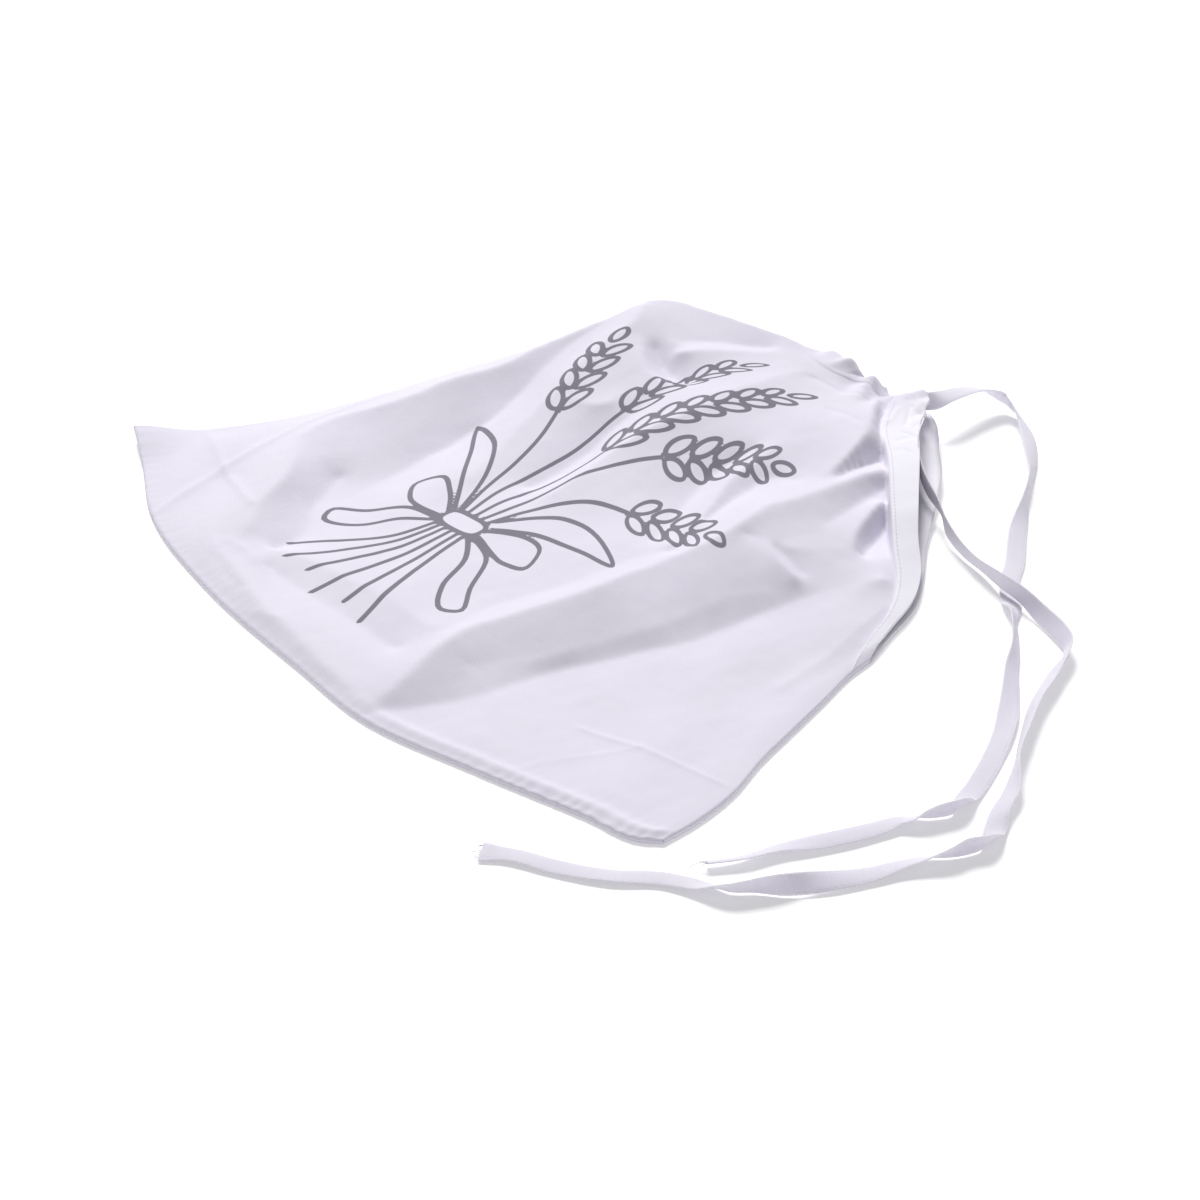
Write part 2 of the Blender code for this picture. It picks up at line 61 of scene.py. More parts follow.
# Plan outline: bottom edge from left to right, sides from bottom to mouth
BOTTOM_EDGE = ((-200, -128), (-174, -139), (-132, -159), (-60, -172), (14, -174), (60, -174),
               (119, -158), (169, -142), (193, -135), (200, -128))
LEFT_EDGE = ((-200, -128), (-183, -98), (-168, -60), (-160, -10), (-156, 40), (-150, 84), (-133, 120),
             (-104, 145), (-76, 158), (-58, 166), (-50, 178))
RIGHT_EDGE = ((200, -128), (199, -112), (194, -88), (184, -64), (176, -40), (168, -16), (161, 4), (158, 18))

# The mouth: share of the hem's cloth, then plan point and rise of its front and of its back
MOUTH_COLUMNS = ("share", "front_x", "front_y", "front_rise", "back_x", "back_y", "back_rise")
MOUTH = ((0.000, -50, 178, 0, -50, 178, 0),
         (0.070, -40, 175, 10, -40, 177, 1),
         (0.140, -28, 171, 17, -28, 175, 1),
         (0.270, -10, 167, 18.5, -10, 174, 1),
         (0.340, -1, 167, 18.5, -1, 175, 1),
         (0.385, 4, 168, 18.5, 6, 176, 1),
         (0.425, 13, 170, 17, 19, 176, 5),
         (0.465, 22, 174, 17, 29, 175, 7),
         (0.492, 30, 173, 17, 35, 172, 7),
         (0.520, 38, 164, 16.5, 41, 168, 6),
         (0.545, 44, 155, 16, 47, 163, 5.5),
         (0.575, 51, 147, 16, 55, 156, 6),
         (0.620, 64, 135, 16, 67, 147, 5),
         (0.725, 94, 106, 13, 90, 121, 2),
         (0.790, 110, 91, 7.5, 108, 99, 1),
         (0.845, 127, 77, 3.6, 126, 80, 0.6),
         (0.895, 139, 61, 1.6, 140, 62, 0.2),
         (0.950, 149, 37, 0.8, 150, 37, 0),
         (1.000, 158, 18, 0, 158, 18, 0))

# Gathers: share, half-width in share, how far the hem stands out, how far it rises, and their reach down
PLEATS = ((0.150, 0.060, 5.0, 0.0, 26),
          (0.350, 0.035, 3.0, 0.0, 26),
          (0.045, 0.010, 0.6, -0.7, 18),
          (0.078, 0.012, 0.4, 0.6, 22),
          (0.104, 0.008, 0.3, -0.8, 16),
          (0.133, 0.010, 0.5, 0.5, 20),
          (0.160, 0.007, 0.3, -0.7, 15),
          (0.189, 0.010, 0.4, 0.6, 22),
          (0.214, 0.007, 0.2, -0.6, 14),
          (0.284, 0.024, 1.5, 3.2, 24),
          (0.340, 0.009, -1.5, -2.8, 17),
          (0.383, 0.016, 2.0, 4.5, 18),
          (0.394, 0.005, 0.0, -0.9, 10),
          (0.426, 0.011, -2.0, -4.0, 18),
          (0.452, 0.007, 0.3, -0.6, 14),
          (0.473, 0.008, 0.4, 0.9, 16),
          (0.492, 0.006, 0.0, -0.9, 13),
          (0.509, 0.007, 0.3, 0.7, 15),
          (0.527, 0.006, 0.0, -0.8, 12),
          (0.546, 0.008, 0.2, 0.4, 12))

# Depth of the hem: share of its cloth, and millimetres. By the knotted neck it lies askew
HEM_DEPTHS = ((0.0, 14), (0.38, 14), (0.42, 8), (0.445, 6.5), (0.462, 11), (0.48, 18), (0.51, 22.5),
              (0.545, 21), (0.6, 18), (0.68, 16), (0.78, 14), (1.0, 14))


def smooth_step(x: np.ndarray) -> np.ndarray:
    """0 below 0, 1 above 1, and 3x^2 - 2x^3 between."""
    x = np.clip(x, 0.0, 1.0)
    return x * x * (3 - 2 * x)


def rounded(x: np.ndarray, power: float) -> np.ndarray:
    """|x|^power with the sign of x, which makes a circle's cosine and sine into those of a rounded box."""
    return np.sign(x) * np.abs(x) ** power


def smooth_curve(points: np.ndarray, at: np.ndarray, shares: np.ndarray | None = None) -> np.ndarray:
    """Cubic Hermite curve through points, with slopes from their neighbours.

    Args:
        points: the points, one a row.
        at: shares of the curve from 0 to 1.
        shares: the share of each point; by default its share of the length in plan.

    Returns:
        The curve's points at those shares.
    """
    points = np.asarray(points, float)
    if shares is None:
        steps = np.linalg.norm(np.diff(points[:, :2], axis=0), axis=1)
        shares = np.concatenate(([0.0], np.cumsum(steps))) / steps.sum()
    slopes = np.gradient(points, shares, axis=0)
    at = np.clip(np.asarray(at, float), 0.0, 1.0)
    i = np.clip(np.searchsorted(shares, at, side="right") - 1, 0, len(shares) - 2)
    span = (shares[i + 1] - shares[i])[..., None]
    f = (at - shares[i])[..., None] / span
    start = (1 + 2 * f) * (1 - f) ** 2 * points[i] + f * (1 - f) ** 2 * span * slopes[i]
    end = f ** 2 * (3 - 2 * f) * points[i + 1] + f ** 2 * (f - 1) * span * slopes[i + 1]
    return start + end


def table_column(table: tuple, names: tuple, name: str) -> np.ndarray:
    """One named column of a table."""
    return np.array([row[names.index(name)] for row in table], float)


# Crests and troughs: plan point and height over the table of each point along them
CREASES = {
    "near ridge": (
        (60, -172, 3), (57, -151, 9), (51, -126, 14), (50, -106, 15), (54, -86, 16), (58, -68, 17),
        (61, -50, 18), (62, -31, 19), (64, -8, 20), (66, 11, 21.5), (64, 33, 22.5), (62, 45, 23),
        (64, 57, 22.5), (65, 79, 21), (65, 97, 20), (66, 111, 19.5)),
    "left foot of the near ridge": (
        (43, -126, 11.5), (39, -97, 12), (41, -76, 12.5), (46, -59, 13.5), (49, -41, 14.5),
        (50, -21, 15.5), (52, 2, 16.5), (53, 22, 18), (50, 45, 19.5)),
    "bend in the near flank": (
        (65, -122, 7.5), (73, -102, 7), (79, -85, 7.5), (83, -67, 8), (89, -45, 9), (92, -20, 10),
        (94, 1, 10.8), (101, 17, 10)),
    "right foot of the near ridge": (
        (61, -171, 2.8), (75, -142, 2.8), (80, -127, 2.8), (82, -109, 2.8), (85, -90, 2.9), (91, -73, 3),
        (96, -56, 3.2), (102, -39, 3.5), (104, -21, 3.9), (106, 3, 5), (109, 18, 6.5), (112, 31, 7.5),
        (117, 44, 8.2), (123, 59, 9.5)),
    "middle ridge": (
        (-29, -26, 10.5), (-16, -22, 15), (-16, -4, 19), (-20, 16, 21.5), (-21, 35, 24.5), (-20, 53, 27),
        (-19, 72, 27.5), (-23, 94, 28.5), (-20, 107, 28.5), (-19, 126, 27.5), (-18, 141, 25)),
    "left foot of the middle ridge": (
        (-34, -17, 8.5), (-34, -7, 9), (-36, 6, 10), (-38, 19, 12), (-42, 37, 16), (-44, 50, 19),
        (-46, 65, 22.5), (-46, 75, 24.5)),
    "crest over the valley": (
        (-77, 36, 23.5), (-65, 37, 23.5), (-57, 43, 24), (-57, 59, 25), (-51, 71, 25), (-46, 82, 25)),
    "hump crest": (
        (-54, -35, 11), (-64, -11, 14), (-72, 7, 17.5), (-78, 26, 21.5), (-79, 35, 24), (-86, 50, 28),
        (-91, 72, 32), (-98, 97, 35), (-105, 109, 35.5)),
    "far valley": (
        (-87, -91, 3), (-89, -62, 3.2), (-93, -36, 3.8), (-95, -17, 5), (-96, 6, 9), (-100, 27, 14.5),
        (-105, 48, 21.5), (-108, 67, 27), (-108, 83, 31), (-109, 97, 33.5)),
    "rim crest": (
        (-84, -136, 9.5), (-97, -121, 12), (-106, -102, 13.5), (-136, -73, 13), (-138, -54, 13.5),
        (-130, -28, 16), (-126, 6, 19.5), (-118, 32, 22.5), (-116, 54, 26), (-110, 85, 32),
        (-110, 106, 34.5)),
    "foot of the rim's slope": (
        (-68, -133, 3), (-70, -118, 2.9), (-90, -96, 3.1), (-104, -74, 3.3)),
    "far crest": (
        (-109, 112, 35), (-101, 125, 34), (-87, 132, 33), (-64, 143, 30), (-47, 151, 27.5),
        (-29, 155, 24.5)),
    "far trough": (
        (-77, 102, 29), (-72, 110, 27.5), (-60, 125, 26.3), (-46, 139, 25.5)),
    "far ridge": (
        (-67, 99, 28.5), (-59, 108, 29), (-50, 120, 28.8), (-42, 132, 27.8), (-37, 142, 26.5)),
    "dent": (
        (-79, 94, 26), (-70, 91, 21.5), (-60, 89, 19), (-50, 89, 19.5)),
    "slim ridge": (
        (56, -8, 15), (52, 3, 15.5), (46, 19, 17), (38, 34, 18.5), (30, 48, 20), (26, 67, 21.5),
        (23, 82, 22.5), (27, 105, 23)),
    "left foot of the slim ridge": (
        (40, -4, 12.5), (32, 14, 12.7), (24, 31, 13), (17, 47, 14), (14, 66, 16.5), (13, 77, 19.5)),
    "right foot of the slim ridge": (
        (46, 21, 15.3), (41, 40, 15.5), (38, 54, 16), (37, 68, 17), (46, 74, 18)),
    "edge of the puff": (
        (18, 151, 23), (28, 140, 25), (38, 128, 25.5), (47, 114, 25), (52, 102, 23), (54, 91, 21),
        (54, 81, 19.5)),
    "pocket by the puff": (
        (52, 124, 12), (50, 119, 12.5), (51, 111, 14), (54, 101, 16), (57, 90, 17.5)),
    "groove by the hem": (
        (20, 152, 19), (30, 144, 15), (41, 135, 12.5)),
    "trough by the hem": (
        (72, 108, 11.5), (74, 94, 13), (77, 79, 14.3), (81, 62, 15.7)),
    "lip of the pocket": (
        (103, 59, 11), (96, 65, 13.5), (88, 80, 15.3), (82, 97, 16.5)),
    "pocket at the hem": (
        (102, 65, 7), (95, 76, 5.5), (89, 88, 5.5), (83, 100, 8)),
    "level crease": (
        (84, 34, 17), (89, 43, 15.5), (96, 61, 13)),
    "lip of the bent fold": (
        (70, 24, 18.6), (76, 28, 18.3), (80, 29, 18), (86, 26, 17.2), (92, 25, 16), (97, 26, 14.8),
        (102, 25, 13)),
    "foot of the bent fold": (
        (82, 32, 15.5), (87, 32, 14), (93, 32, 12.3), (100, 32, 10.5)),
    "left curl": (
        (-134, -116, 5.5), (-119, -134, 6.5), (-105, -144, 7.5), (-88, -153, 8), (-66, -157, 8.3),
        (-40, -162, 8.3), (-21, -165, 8), (-6, -165, 7.7), (14, -167, 7.3), (35, -168, 6.7), (54, -169, 5)),
    "trough along the curl": (
        (-56, -144, 4.5), (-30, -142, 4.8), (1, -139, 5.2), (33, -137, 6.5)),
    "ridge along the curl": (
        (-67, -135, 6), (-46, -128, 8), (-20, -124, 9), (8, -120, 10), (34, -120, 12)),
    "shoulder of the dent": (
        (-85, 90, 31), (-73, 81, 29.5), (-61, 76, 27.5), (-51, 76, 26)),
    "floor by the hem": (
        (110, 74, 8), (98, 86, 6.5), (89, 95, 7)),
    "saddle before the gathers": (
        (-13, 137, 24), (2, 133, 23), (18, 123, 23)),
    "crest of the puff": (
        (-30, 155, 23.5), (-27, 157, 25.5), (-24, 160, 27), (-18, 161, 27.5), (-11, 161, 27),
        (-6, 161, 25.5), (-4, 162, 23)),
    "fold under the puff": (
        (-2, 164, 20), (0, 156, 20.5), (0, 150, 20.5), (4, 142, 21.5)),
    "flap": (
        (5, 158, 22.5), (10, 149, 24.5), (15, 143, 24.5), (18, 142, 22.5)),
    "fold beside the flap": (
        (7, 160, 19), (13, 153, 20), (20, 145, 21.5)),
    "knot": (
        (5, 162, 22.3), (5, 165, 22.5)),
    "side of the knot": (
        (8, 166, 17.5), (12, 161, 17)),
    "strap": (
        (16, 163, 20.5), (19, 158, 19), (23, 152, 16.5)),
}


# Pressed creases: height over the cloth beside them (under it with a minus), half-width, and plan points
PRESSED = ((0.9, 2.2, ((-130, -158), (-141, -114), (-149, -64), (-147, -10))),
           (0.8, 2.0, ((-181, -99), (-141, -114), (-100, -125))),
           (0.6, 1.8, ((122, -108), (148, -98), (193, -86))),
           (0.3, 1.8, ((126, -152), (134, -128), (148, -98))),
           (0.5, 3.4, ((136, 47), (141, 26), (147, 4), (150, -24))),
           (-0.5, 1.6, ((-12, 138), (3, 141), (16, 145))),
           (-0.4, 1.6, ((14, 123), (22, 126), (32, 126))),
           (-0.6, 1.2, ((26, 163), (32, 159), (38, 152), (43, 146))),
           (0.7, 1.2, ((25, 168), (31, 166), (37, 164), (41, 160))),
           (-0.6, 1.0, ((32, 160), (37, 158), (41, 159))),
           (-0.4, 1.0, ((52, 132), (52, 137), (54, 140))),
           (-0.5, 1.0, ((48, 140), (51, 141), (54, 142))),
           (0.4, 1.4, ((36, 138), (35, 145), (30, 154))),
           (-0.3, 1.0, ((58, 124), (59, 129), (63, 130))),
           (0.5, 3.0, ((-82, -147), (-70, -145), (-54, -147))),
           (0.45, 2.6, ((-37, -173), (-28, -168), (-16, -164))),
           (-0.5, 2.4, ((-77, -158), (-62, -162), (-48, -163))))


def tent(plan: np.ndarray, run: np.ndarray, half: float) -> np.ndarray:
    """Rounded tent over a run of plan points: exp(-(d / half)^1.5), with d the distance to the run.

    Args:
        plan: plan points.
        run: plan points of the line from end to end.
        half: the tent's half-width.

    Returns:
        The height at each point, 1 on the line.
    """
    nearest = np.full(plan.shape[:-1], np.inf)
    for start, end in zip(run[:-1], run[1:]):
        step = end - start
        ratio = np.clip((plan - start) @ step / (step @ step), 0.0, 1.0)
        nearest = np.minimum(nearest, np.linalg.norm(plan - start - ratio[..., None] * step, axis=-1))
    return np.exp(-((nearest / half) ** 1.5))


@dataclass(frozen=True)
class Membrane:
    """A height field stretched between lines of known height, like thin cloth over its crests and troughs."""

    low: tuple[float, float] = (-0.216, -0.192)
    high: tuple[float, float] = (0.216, 0.204)
    pitch: float = 1.5 * MM
    levels: tuple[int, ...] = (32, 16, 8, 4, 2, 1)  # size of each grid's cells, in pitches
    sweeps: int = 160
    softness: int = 3  # how often the finest heights are averaged with their neighbours

    def pin(self, points: np.ndarray, cell: float, shape: tuple[int, int]) -> tuple[np.ndarray, np.ndarray]:
        """Cells that the lines cross, each with the mean height of the points inside it.

        Args:
            points: plan point and height of every point along the lines.
            cell: the cells' size.
            shape: how many cells along x and y.

        Returns:
            Whether each cell is pinned, and its height.
        """
        place = np.rint((points[:, :2] - self.low) / cell).astype(int)
        place = np.clip(place, 0, np.array(shape) - 1)
        total, count = np.zeros(shape), np.zeros(shape)
        np.add.at(total, (place[:, 0], place[:, 1]), points[:, 2])
        np.add.at(count, (place[:, 0], place[:, 1]), 1.0)
        return count > 0, total / np.maximum(count, 1.0)

    def solve(self, points: np.ndarray) -> np.ndarray:
        """Each free cell takes the mean of its four neighbours, from coarse cells to fine ones.

        Each grid starts from the last one, with two cells for one, and the finest is softened at the end.

        Args:
            points: plan point and height of every point along the lines.

        Returns:
            The heights on the finest grid.
        """
        span = np.array(self.high) - self.low
        height = np.zeros((1, 1))
        for level in self.levels:
            cell = self.pitch * level
            shape = tuple(int(n) for n in np.ceil(span / cell).astype(int) + 1)
            pinned, value = self.pin(points, cell, shape)
            grown = [np.minimum(np.arange(shape[i]) // 2, height.shape[i] - 1) for i in range(2)]
            height = height[np.ix_(*grown)]
            for _ in range(self.sweeps):
                padded = np.pad(height, 1, mode="edge")
                mean = (padded[:-2, 1:-1] + padded[2:, 1:-1] + padded[1:-1, :-2] + padded[1:-1, 2:]) / 4
                height = np.where(pinned, value, mean)
        for _ in range(self.softness):
            padded = np.pad(height, 1, mode="edge")
            height = (2 * height + (padded[:-2, 1:-1] + padded[2:, 1:-1] + padded[1:-1, :-2]
                                    + padded[1:-1, 2:]) / 2) / 4
        return height

    def read(self, height: np.ndarray, plan: np.ndarray) -> np.ndarray:
        """Heights at plan points, by bicubic (Catmull-Rom) reading of the grid.

        Args:
            height: the solved heights.
            plan: plan points.

        Returns:
            One height for each point.
        """
        place = (plan - self.low) / self.pitch
        base = np.clip(np.floor(place).astype(int), 1, np.array(height.shape) - 3)
        f = place - base
        weights = np.stack(((-f + 2 * f ** 2 - f ** 3) / 2, (2 - 5 * f ** 2 + 3 * f ** 3) / 2,
                            (f + 4 * f ** 2 - 3 * f ** 3) / 2, (f ** 3 - f ** 2) / 2), axis=-1)
        total = np.zeros(plan.shape[:-1])
        for i in range(4):
            for j in range(4):
                total += (weights[..., 0, i] * weights[..., 1, j]
                          * height[base[..., 0] + i - 1, base[..., 1] + j - 1])
        return total


@dataclass(frozen=True)
class Waves:
    """Faint uneven waves of the cloth: a fixed sum of plane sine waves."""

    seed: int
    count: int
    height: float
    shortest: float
    longest: float
    heading: float
    scatter: float

    def height_at(self, plan: np.ndarray) -> np.ndarray:
        """Sum of height/sqrt(count) * sin(k . p + phase), each k with its own heading and wavelength.

        Args:
            plan: plan points, in metres.

        Returns:
            The height at each point, in metres.
        """
        draw = np.random.default_rng(self.seed)
        heading = np.radians(self.heading + self.scatter * draw.standard_normal(self.count))
        wavelength = np.exp(draw.uniform(np.log(self.shortest), np.log(self.longest), self.count))
        phase = draw.uniform(0, 2 * np.pi, self.count)
        total = np.zeros(plan.shape[:-1])
        for angle, length, start in zip(heading, wavelength, phase):
            k = 2 * np.pi / length
            total += np.sin(k * (plan[..., 0] * np.cos(angle) + plan[..., 1] * np.sin(angle)) + start)
        return total * self.height / np.sqrt(self.count)


@dataclass(frozen=True)
class BagForm:
    """The shape in which the bag lies. Lengths are in metres."""

    cloth_width: float = 0.410
    cloth_length: float = 0.355
    cloth: float = 0.6 * MM  # thickness of one layer
    solid_layer: float = 1.2 * MM  # room that each layer takes where both lie flat
    layer_gap: float = 0.4 * MM
    flat_top: float = 2.8 * MM  # height of the flat front over the table
    soft_floor: float = 0.8 * MM
    edge_round: float = 1.6 * MM
    crease_samples: int = 40  # pinned points for each given point of a crease
    edge_samples: int = 900

    # the hem, and the mouth above it
    hem_extra: float = 1.4 * MM
    hem_step: float = 1.5 * MM
    hem_end_run: float = 10.0 * MM
    hem_inset: float = 1.6 * MM
    gathered_hem: float = 0.35
    gathers_end: float = 0.48
    gathers_blend: float = 0.06
    gathered_hold: float = 6.0 * MM
    gathered_run: float = 7.0 * MM
    mouth_lift_run: float = 2.6 * MM
    pinned_hem: tuple[tuple[float, float], ...] = ((0.0, 0.06), (0.652, 0.662), (0.80, 1.0))
    pleat_slope_step: float = 0.01
    roll: float = 0.5
    roll_run: float = 5.0 * MM
    back_mouth_run: float = 17.5 * MM
    # where the back's doubled hem starts to be painted whiter as painted light, and how far that blends in
    back_painted_light_start: float = 0.545
    back_painted_light_blend: float = 0.012
    back_hump: tuple[float, float, float] = (0.525, 0.070, 14.0 * MM)  # share, spread and rise
    back_hump_place: float = 13.5 * MM
    back_hump_width: float = 9.0 * MM
    no_seam: float = 99.0  # a distance in millimetres that bears no stitches

    # the sewn edges and the lifted corner
    seam_rise: float = 2.0 * MM
    seam_place: float = 5.5 * MM
    seam_width: float = 3.4 * MM
    seam_start: float = 0.60
    seam_blend: float = 0.08
    pucker: float = 0.10 * MM
    pucker_corner: float = 0.22 * MM
    pucker_corner_start: float = 0.70
    pucker_corner_blend: float = 0.20
    pucker_pitch: float = 6.5 * MM
    pucker_sway: float = 1.7
    pucker_sway_beat: float = 0.23
    pucker_run: float = 7.0 * MM
    corner: tuple[float, float] = (-0.200, -0.128)
    corner_lift: float = 5.0 * MM
    corner_reach: float = 34.0 * MM
    waves_start: float = 4.0 * MM
    waves_run: float = 16.0 * MM

    def open_half(self, across: np.ndarray) -> np.ndarray:
        """0 where the mouth is gathered and 1 where it is open, at shares of its cloth."""
        return smooth_step((across - self.gathers_end + self.gathers_blend) / self.gathers_blend)

    def depth_at(self, across: np.ndarray) -> np.ndarray:
        """Depth of the hem at shares of its cloth."""
        table = np.array(HEM_DEPTHS, float)
        return smooth_curve(table[:, 1:] * MM, across, table[:, 0])[..., 0]

    def mouth_line(self, layer: Layer, across: np.ndarray) -> tuple[np.ndarray, np.ndarray]:
        """Plan points and rise of one layer's mouth.

        Args:
            layer: front or back.
            across: shares of the hem's cloth.

        Returns:
            Plan points, and the rise above cloth that lies flat.
        """
        shares = table_column(MOUTH, MOUTH_COLUMNS, "share")
        parts = [table_column(MOUTH, MOUTH_COLUMNS, f"{layer.value}_{part}") for part in ("x", "y", "rise")]
        line = smooth_curve(np.stack(parts, axis=1) * MM, across, shares)
        return line[..., :2], np.maximum(line[..., 2], 0.0)

    def plan(self, layer: Layer, across: np.ndarray,
             up: np.ndarray) -> tuple[np.ndarray, np.ndarray, np.ndarray]:
        """Coons patch: the blend of the four edge curves, less the blend of their corners.

        The pleats then move it square to the mouth, each as a bell exp(-((share - place) / spread)^2).

        Args:
            layer: front or back.
            across: shares from the left side to the right.
            up: shares from the bottom to the mouth.

        Returns:
            Plan points, the distance left to the mouth, and the extra rise of the pleats.
        """
        bottom = smooth_curve(BOTTOM_EDGE, across) * MM
        mouth, _ = self.mouth_line(layer, across)
        left, right = smooth_curve(LEFT_EDGE, up) * MM, smooth_curve(RIGHT_EDGE, up) * MM
        s, t = across[..., None], up[..., None]
        corners = [np.array(edge[end], float) * MM for edge in (LEFT_EDGE, RIGHT_EDGE) for end in (0, -1)]
        flat = ((1 - s) * (1 - t) * corners[0] + (1 - s) * t * corners[1]
                + s * (1 - t) * corners[2] + s * t * corners[3])
        plan = (1 - t) * bottom + t * mouth + (1 - s) * left + s * right - flat
        to_mouth = (1 - up) * np.linalg.norm(mouth - bottom, axis=-1)
        ahead, _ = self.mouth_line(layer, np.clip(across + self.pleat_slope_step, 0, 1))
        behind, _ = self.mouth_line(layer, np.clip(across - self.pleat_slope_step, 0, 1))
        along = ahead - behind
        square = np.stack((-along[..., 1], along[..., 0]), axis=-1)
        square /= np.linalg.norm(square, axis=-1, keepdims=True)
        out, rise = np.zeros_like(across), np.zeros_like(across)
        for share, spread, stand, lift, reach in PLEATS:
            bell = np.exp(-(((across - share) / spread) ** 2)) * smooth_step(1 - to_mouth / (reach * MM))
            out += stand * MM * bell
            rise += lift * MM * bell
        return plan + square * out[..., None], to_mouth, rise

    def edge_distances(self, layer: Layer, across: np.ndarray, up: np.ndarray) -> tuple[np.ndarray, ...]:
        """Distances to the left, right and bottom edge: shares of the straight width and length there.

        Args:
            layer: front or back.
            across: shares from the left side to the right.
            up: shares from the bottom to the mouth.

        Returns:
            The three distances.
        """
        width = np.linalg.norm(smooth_curve(LEFT_EDGE, up) - smooth_curve(RIGHT_EDGE, up), axis=-1) * MM
        mouth, _ = self.mouth_line(layer, across)
        length = np.linalg.norm(mouth - smooth_curve(BOTTOM_EDGE, across) * MM, axis=-1)
        return across * width, (1 - across) * width, up * length

    def pins(self) -> np.ndarray:
        """Every pinned point: the creases, the flat edges, and the upper end of the cloth at the hem's rise.

        Returns:
            Plan point and rise over flat cloth of each.
        """
        found = []
        for points in CREASES.values():
            share = np.linspace(0, 1, self.crease_samples * len(points))
            found.append(smooth_curve(np.array(points, float) * MM, share) - (0, 0, self.flat_top))
        share = np.linspace(0, 1, self.edge_samples)
        for edge in (BOTTOM_EDGE, LEFT_EDGE, RIGHT_EDGE):
            line = smooth_curve(edge, share) * MM
            found.append(np.concatenate((line, np.zeros((len(line), 1))), axis=1))
        mouth, rise = self.mouth_line(Layer.FRONT, share)
        bottom = smooth_curve(BOTTOM_EDGE, share) * MM
        up = 1 - self.depth_at(share) / np.linalg.norm(mouth - bottom, axis=-1)
        plan, _, _ = self.plan(Layer.FRONT, share, up)
        held = np.any([(share >= start) & (share <= end) for start, end in self.pinned_hem], axis=0)
        found.append(np.concatenate((plan, rise[:, None]), axis=1)[held])
        return np.concatenate(found)

    def front_rise(self, plan: np.ndarray, across: np.ndarray, to_mouth: np.ndarray, pleats: np.ndarray,
                   edges: tuple[np.ndarray, ...]) -> np.ndarray:
        """Rise of the front: the cloth stretched between its creases, blended into the mouth's own height.

        Args:
            plan: plan points.
            across: shares of the hem's cloth.
            to_mouth: distance left to the mouth.
            pleats: rise of the pleats.
            edges: distances to the left, right and bottom edge.

        Returns:
            The rise above cloth that lies flat.
        """
        _, mouth_rise = self.mouth_line(Layer.FRONT, across)
        open_half = self.open_half(across)
        run = self.gathered_run + (self.mouth_lift_run - self.gathered_run) * open_half
        held = self.depth_at(across) + self.mouth_lift_run
        held = self.gathered_hold + (held - self.gathered_hold) * open_half
        near_mouth = smooth_step((held - to_mouth) / run)
        membrane = Membrane()
        body = membrane.read(membrane.solve(self.pins()), plan)
        pressed = sum(height * MM * tent(plan, np.array(line) * MM, half * MM)
                      for height, half, line in PRESSED)
        rim = np.prod([1 - np.exp(-edge / (2 * self.edge_round)) for edge in edges], axis=0)
        roll = self.roll * np.exp(-((to_mouth / self.roll_run) ** 2)) * (1 - open_half)
        seam = self.seam_rise * np.exp(-(((edges[2] - self.seam_place) / self.seam_width) ** 2))
        seam = seam * smooth_step((across - self.seam_start) / self.seam_blend)
        level = body * (1 - near_mouth) + mouth_rise * near_mouth + (pleats + pressed + seam) * rim
        level = level * (1 - roll)
        return (level + np.sqrt(level ** 2 + self.soft_floor ** 2)) / 2 * rim

    def outer(self, layer: Layer, across: np.ndarray, up: np.ndarray) -> tuple[np.ndarray, np.ndarray]:
        """Outer skin of one layer, rounded down to the seams, with the hem's step and the seams' puckers.

        Args:
            layer: front or back.
            across: shares from the left side to the right.
            up: shares from the bottom to the mouth.

        Returns:
            Points, and how much of the hem's extra thickness each has.
        """
        plan, to_mouth, pleats = self.plan(layer, across, up)
        edges = self.edge_distances(layer, across, up)
        hem = smooth_step((self.depth_at(across) + self.hem_step - to_mouth) / self.hem_step)
        hem = hem * smooth_step(np.minimum(edges[0], edges[1]) / self.hem_end_run)
        open_half = self.open_half(across)
        hem = hem * (self.gathered_hem + (1 - self.gathered_hem) * open_half)
        edge = np.minimum(np.minimum(edges[0], edges[1]), edges[2])
        rounding = np.sqrt(1 - (1 - np.clip(edge / self.edge_round, 0, 1)) ** 2)
        from_corner = np.linalg.norm(plan - self.corner, axis=-1)
        lift = self.corner_lift * smooth_step(1 - from_corner / self.corner_reach)
        middle = self.solid_layer + self.layer_gap / 2 + lift
        half = (self.layer_gap / 2 + self.solid_layer) * rounding
        if layer is Layer.BACK:
            _, mouth_rise = self.mouth_line(layer, across)
            place, spread, rise = self.back_hump
            hump = rise * np.exp(-(((across - place) / spread) ** 2)
                                 - ((to_mouth - self.back_hump_place) / self.back_hump_width) ** 2)
            height = middle - half + mouth_rise * smooth_step(1 - to_mouth / self.back_mouth_run) + hump
        else:
            rise = self.front_rise(plan, across, to_mouth, pleats, edges)
            height = middle + half + rise + self.hem_extra * hem * rounding
            seam = np.exp(-edges[2] / self.pucker_run) * rounding
            beat = 2 * np.pi * across * self.cloth_width / self.pucker_pitch
            beat = beat + self.pucker_sway * np.sin(beat * self.pucker_sway_beat)
            near_corner = smooth_step((across - self.pucker_corner_start) / self.pucker_corner_blend)
            height = height + (self.pucker + self.pucker_corner * near_corner) * seam * np.sin(beat)
            shown = smooth_step((edge - self.waves_start) / self.waves_run)
            height = height + shown * (BROAD_WAVES.height_at(plan) + FINE_WAVES.height_at(plan))
        return np.concatenate((plan, height[..., None]), axis=-1) - MIDDLE, hem

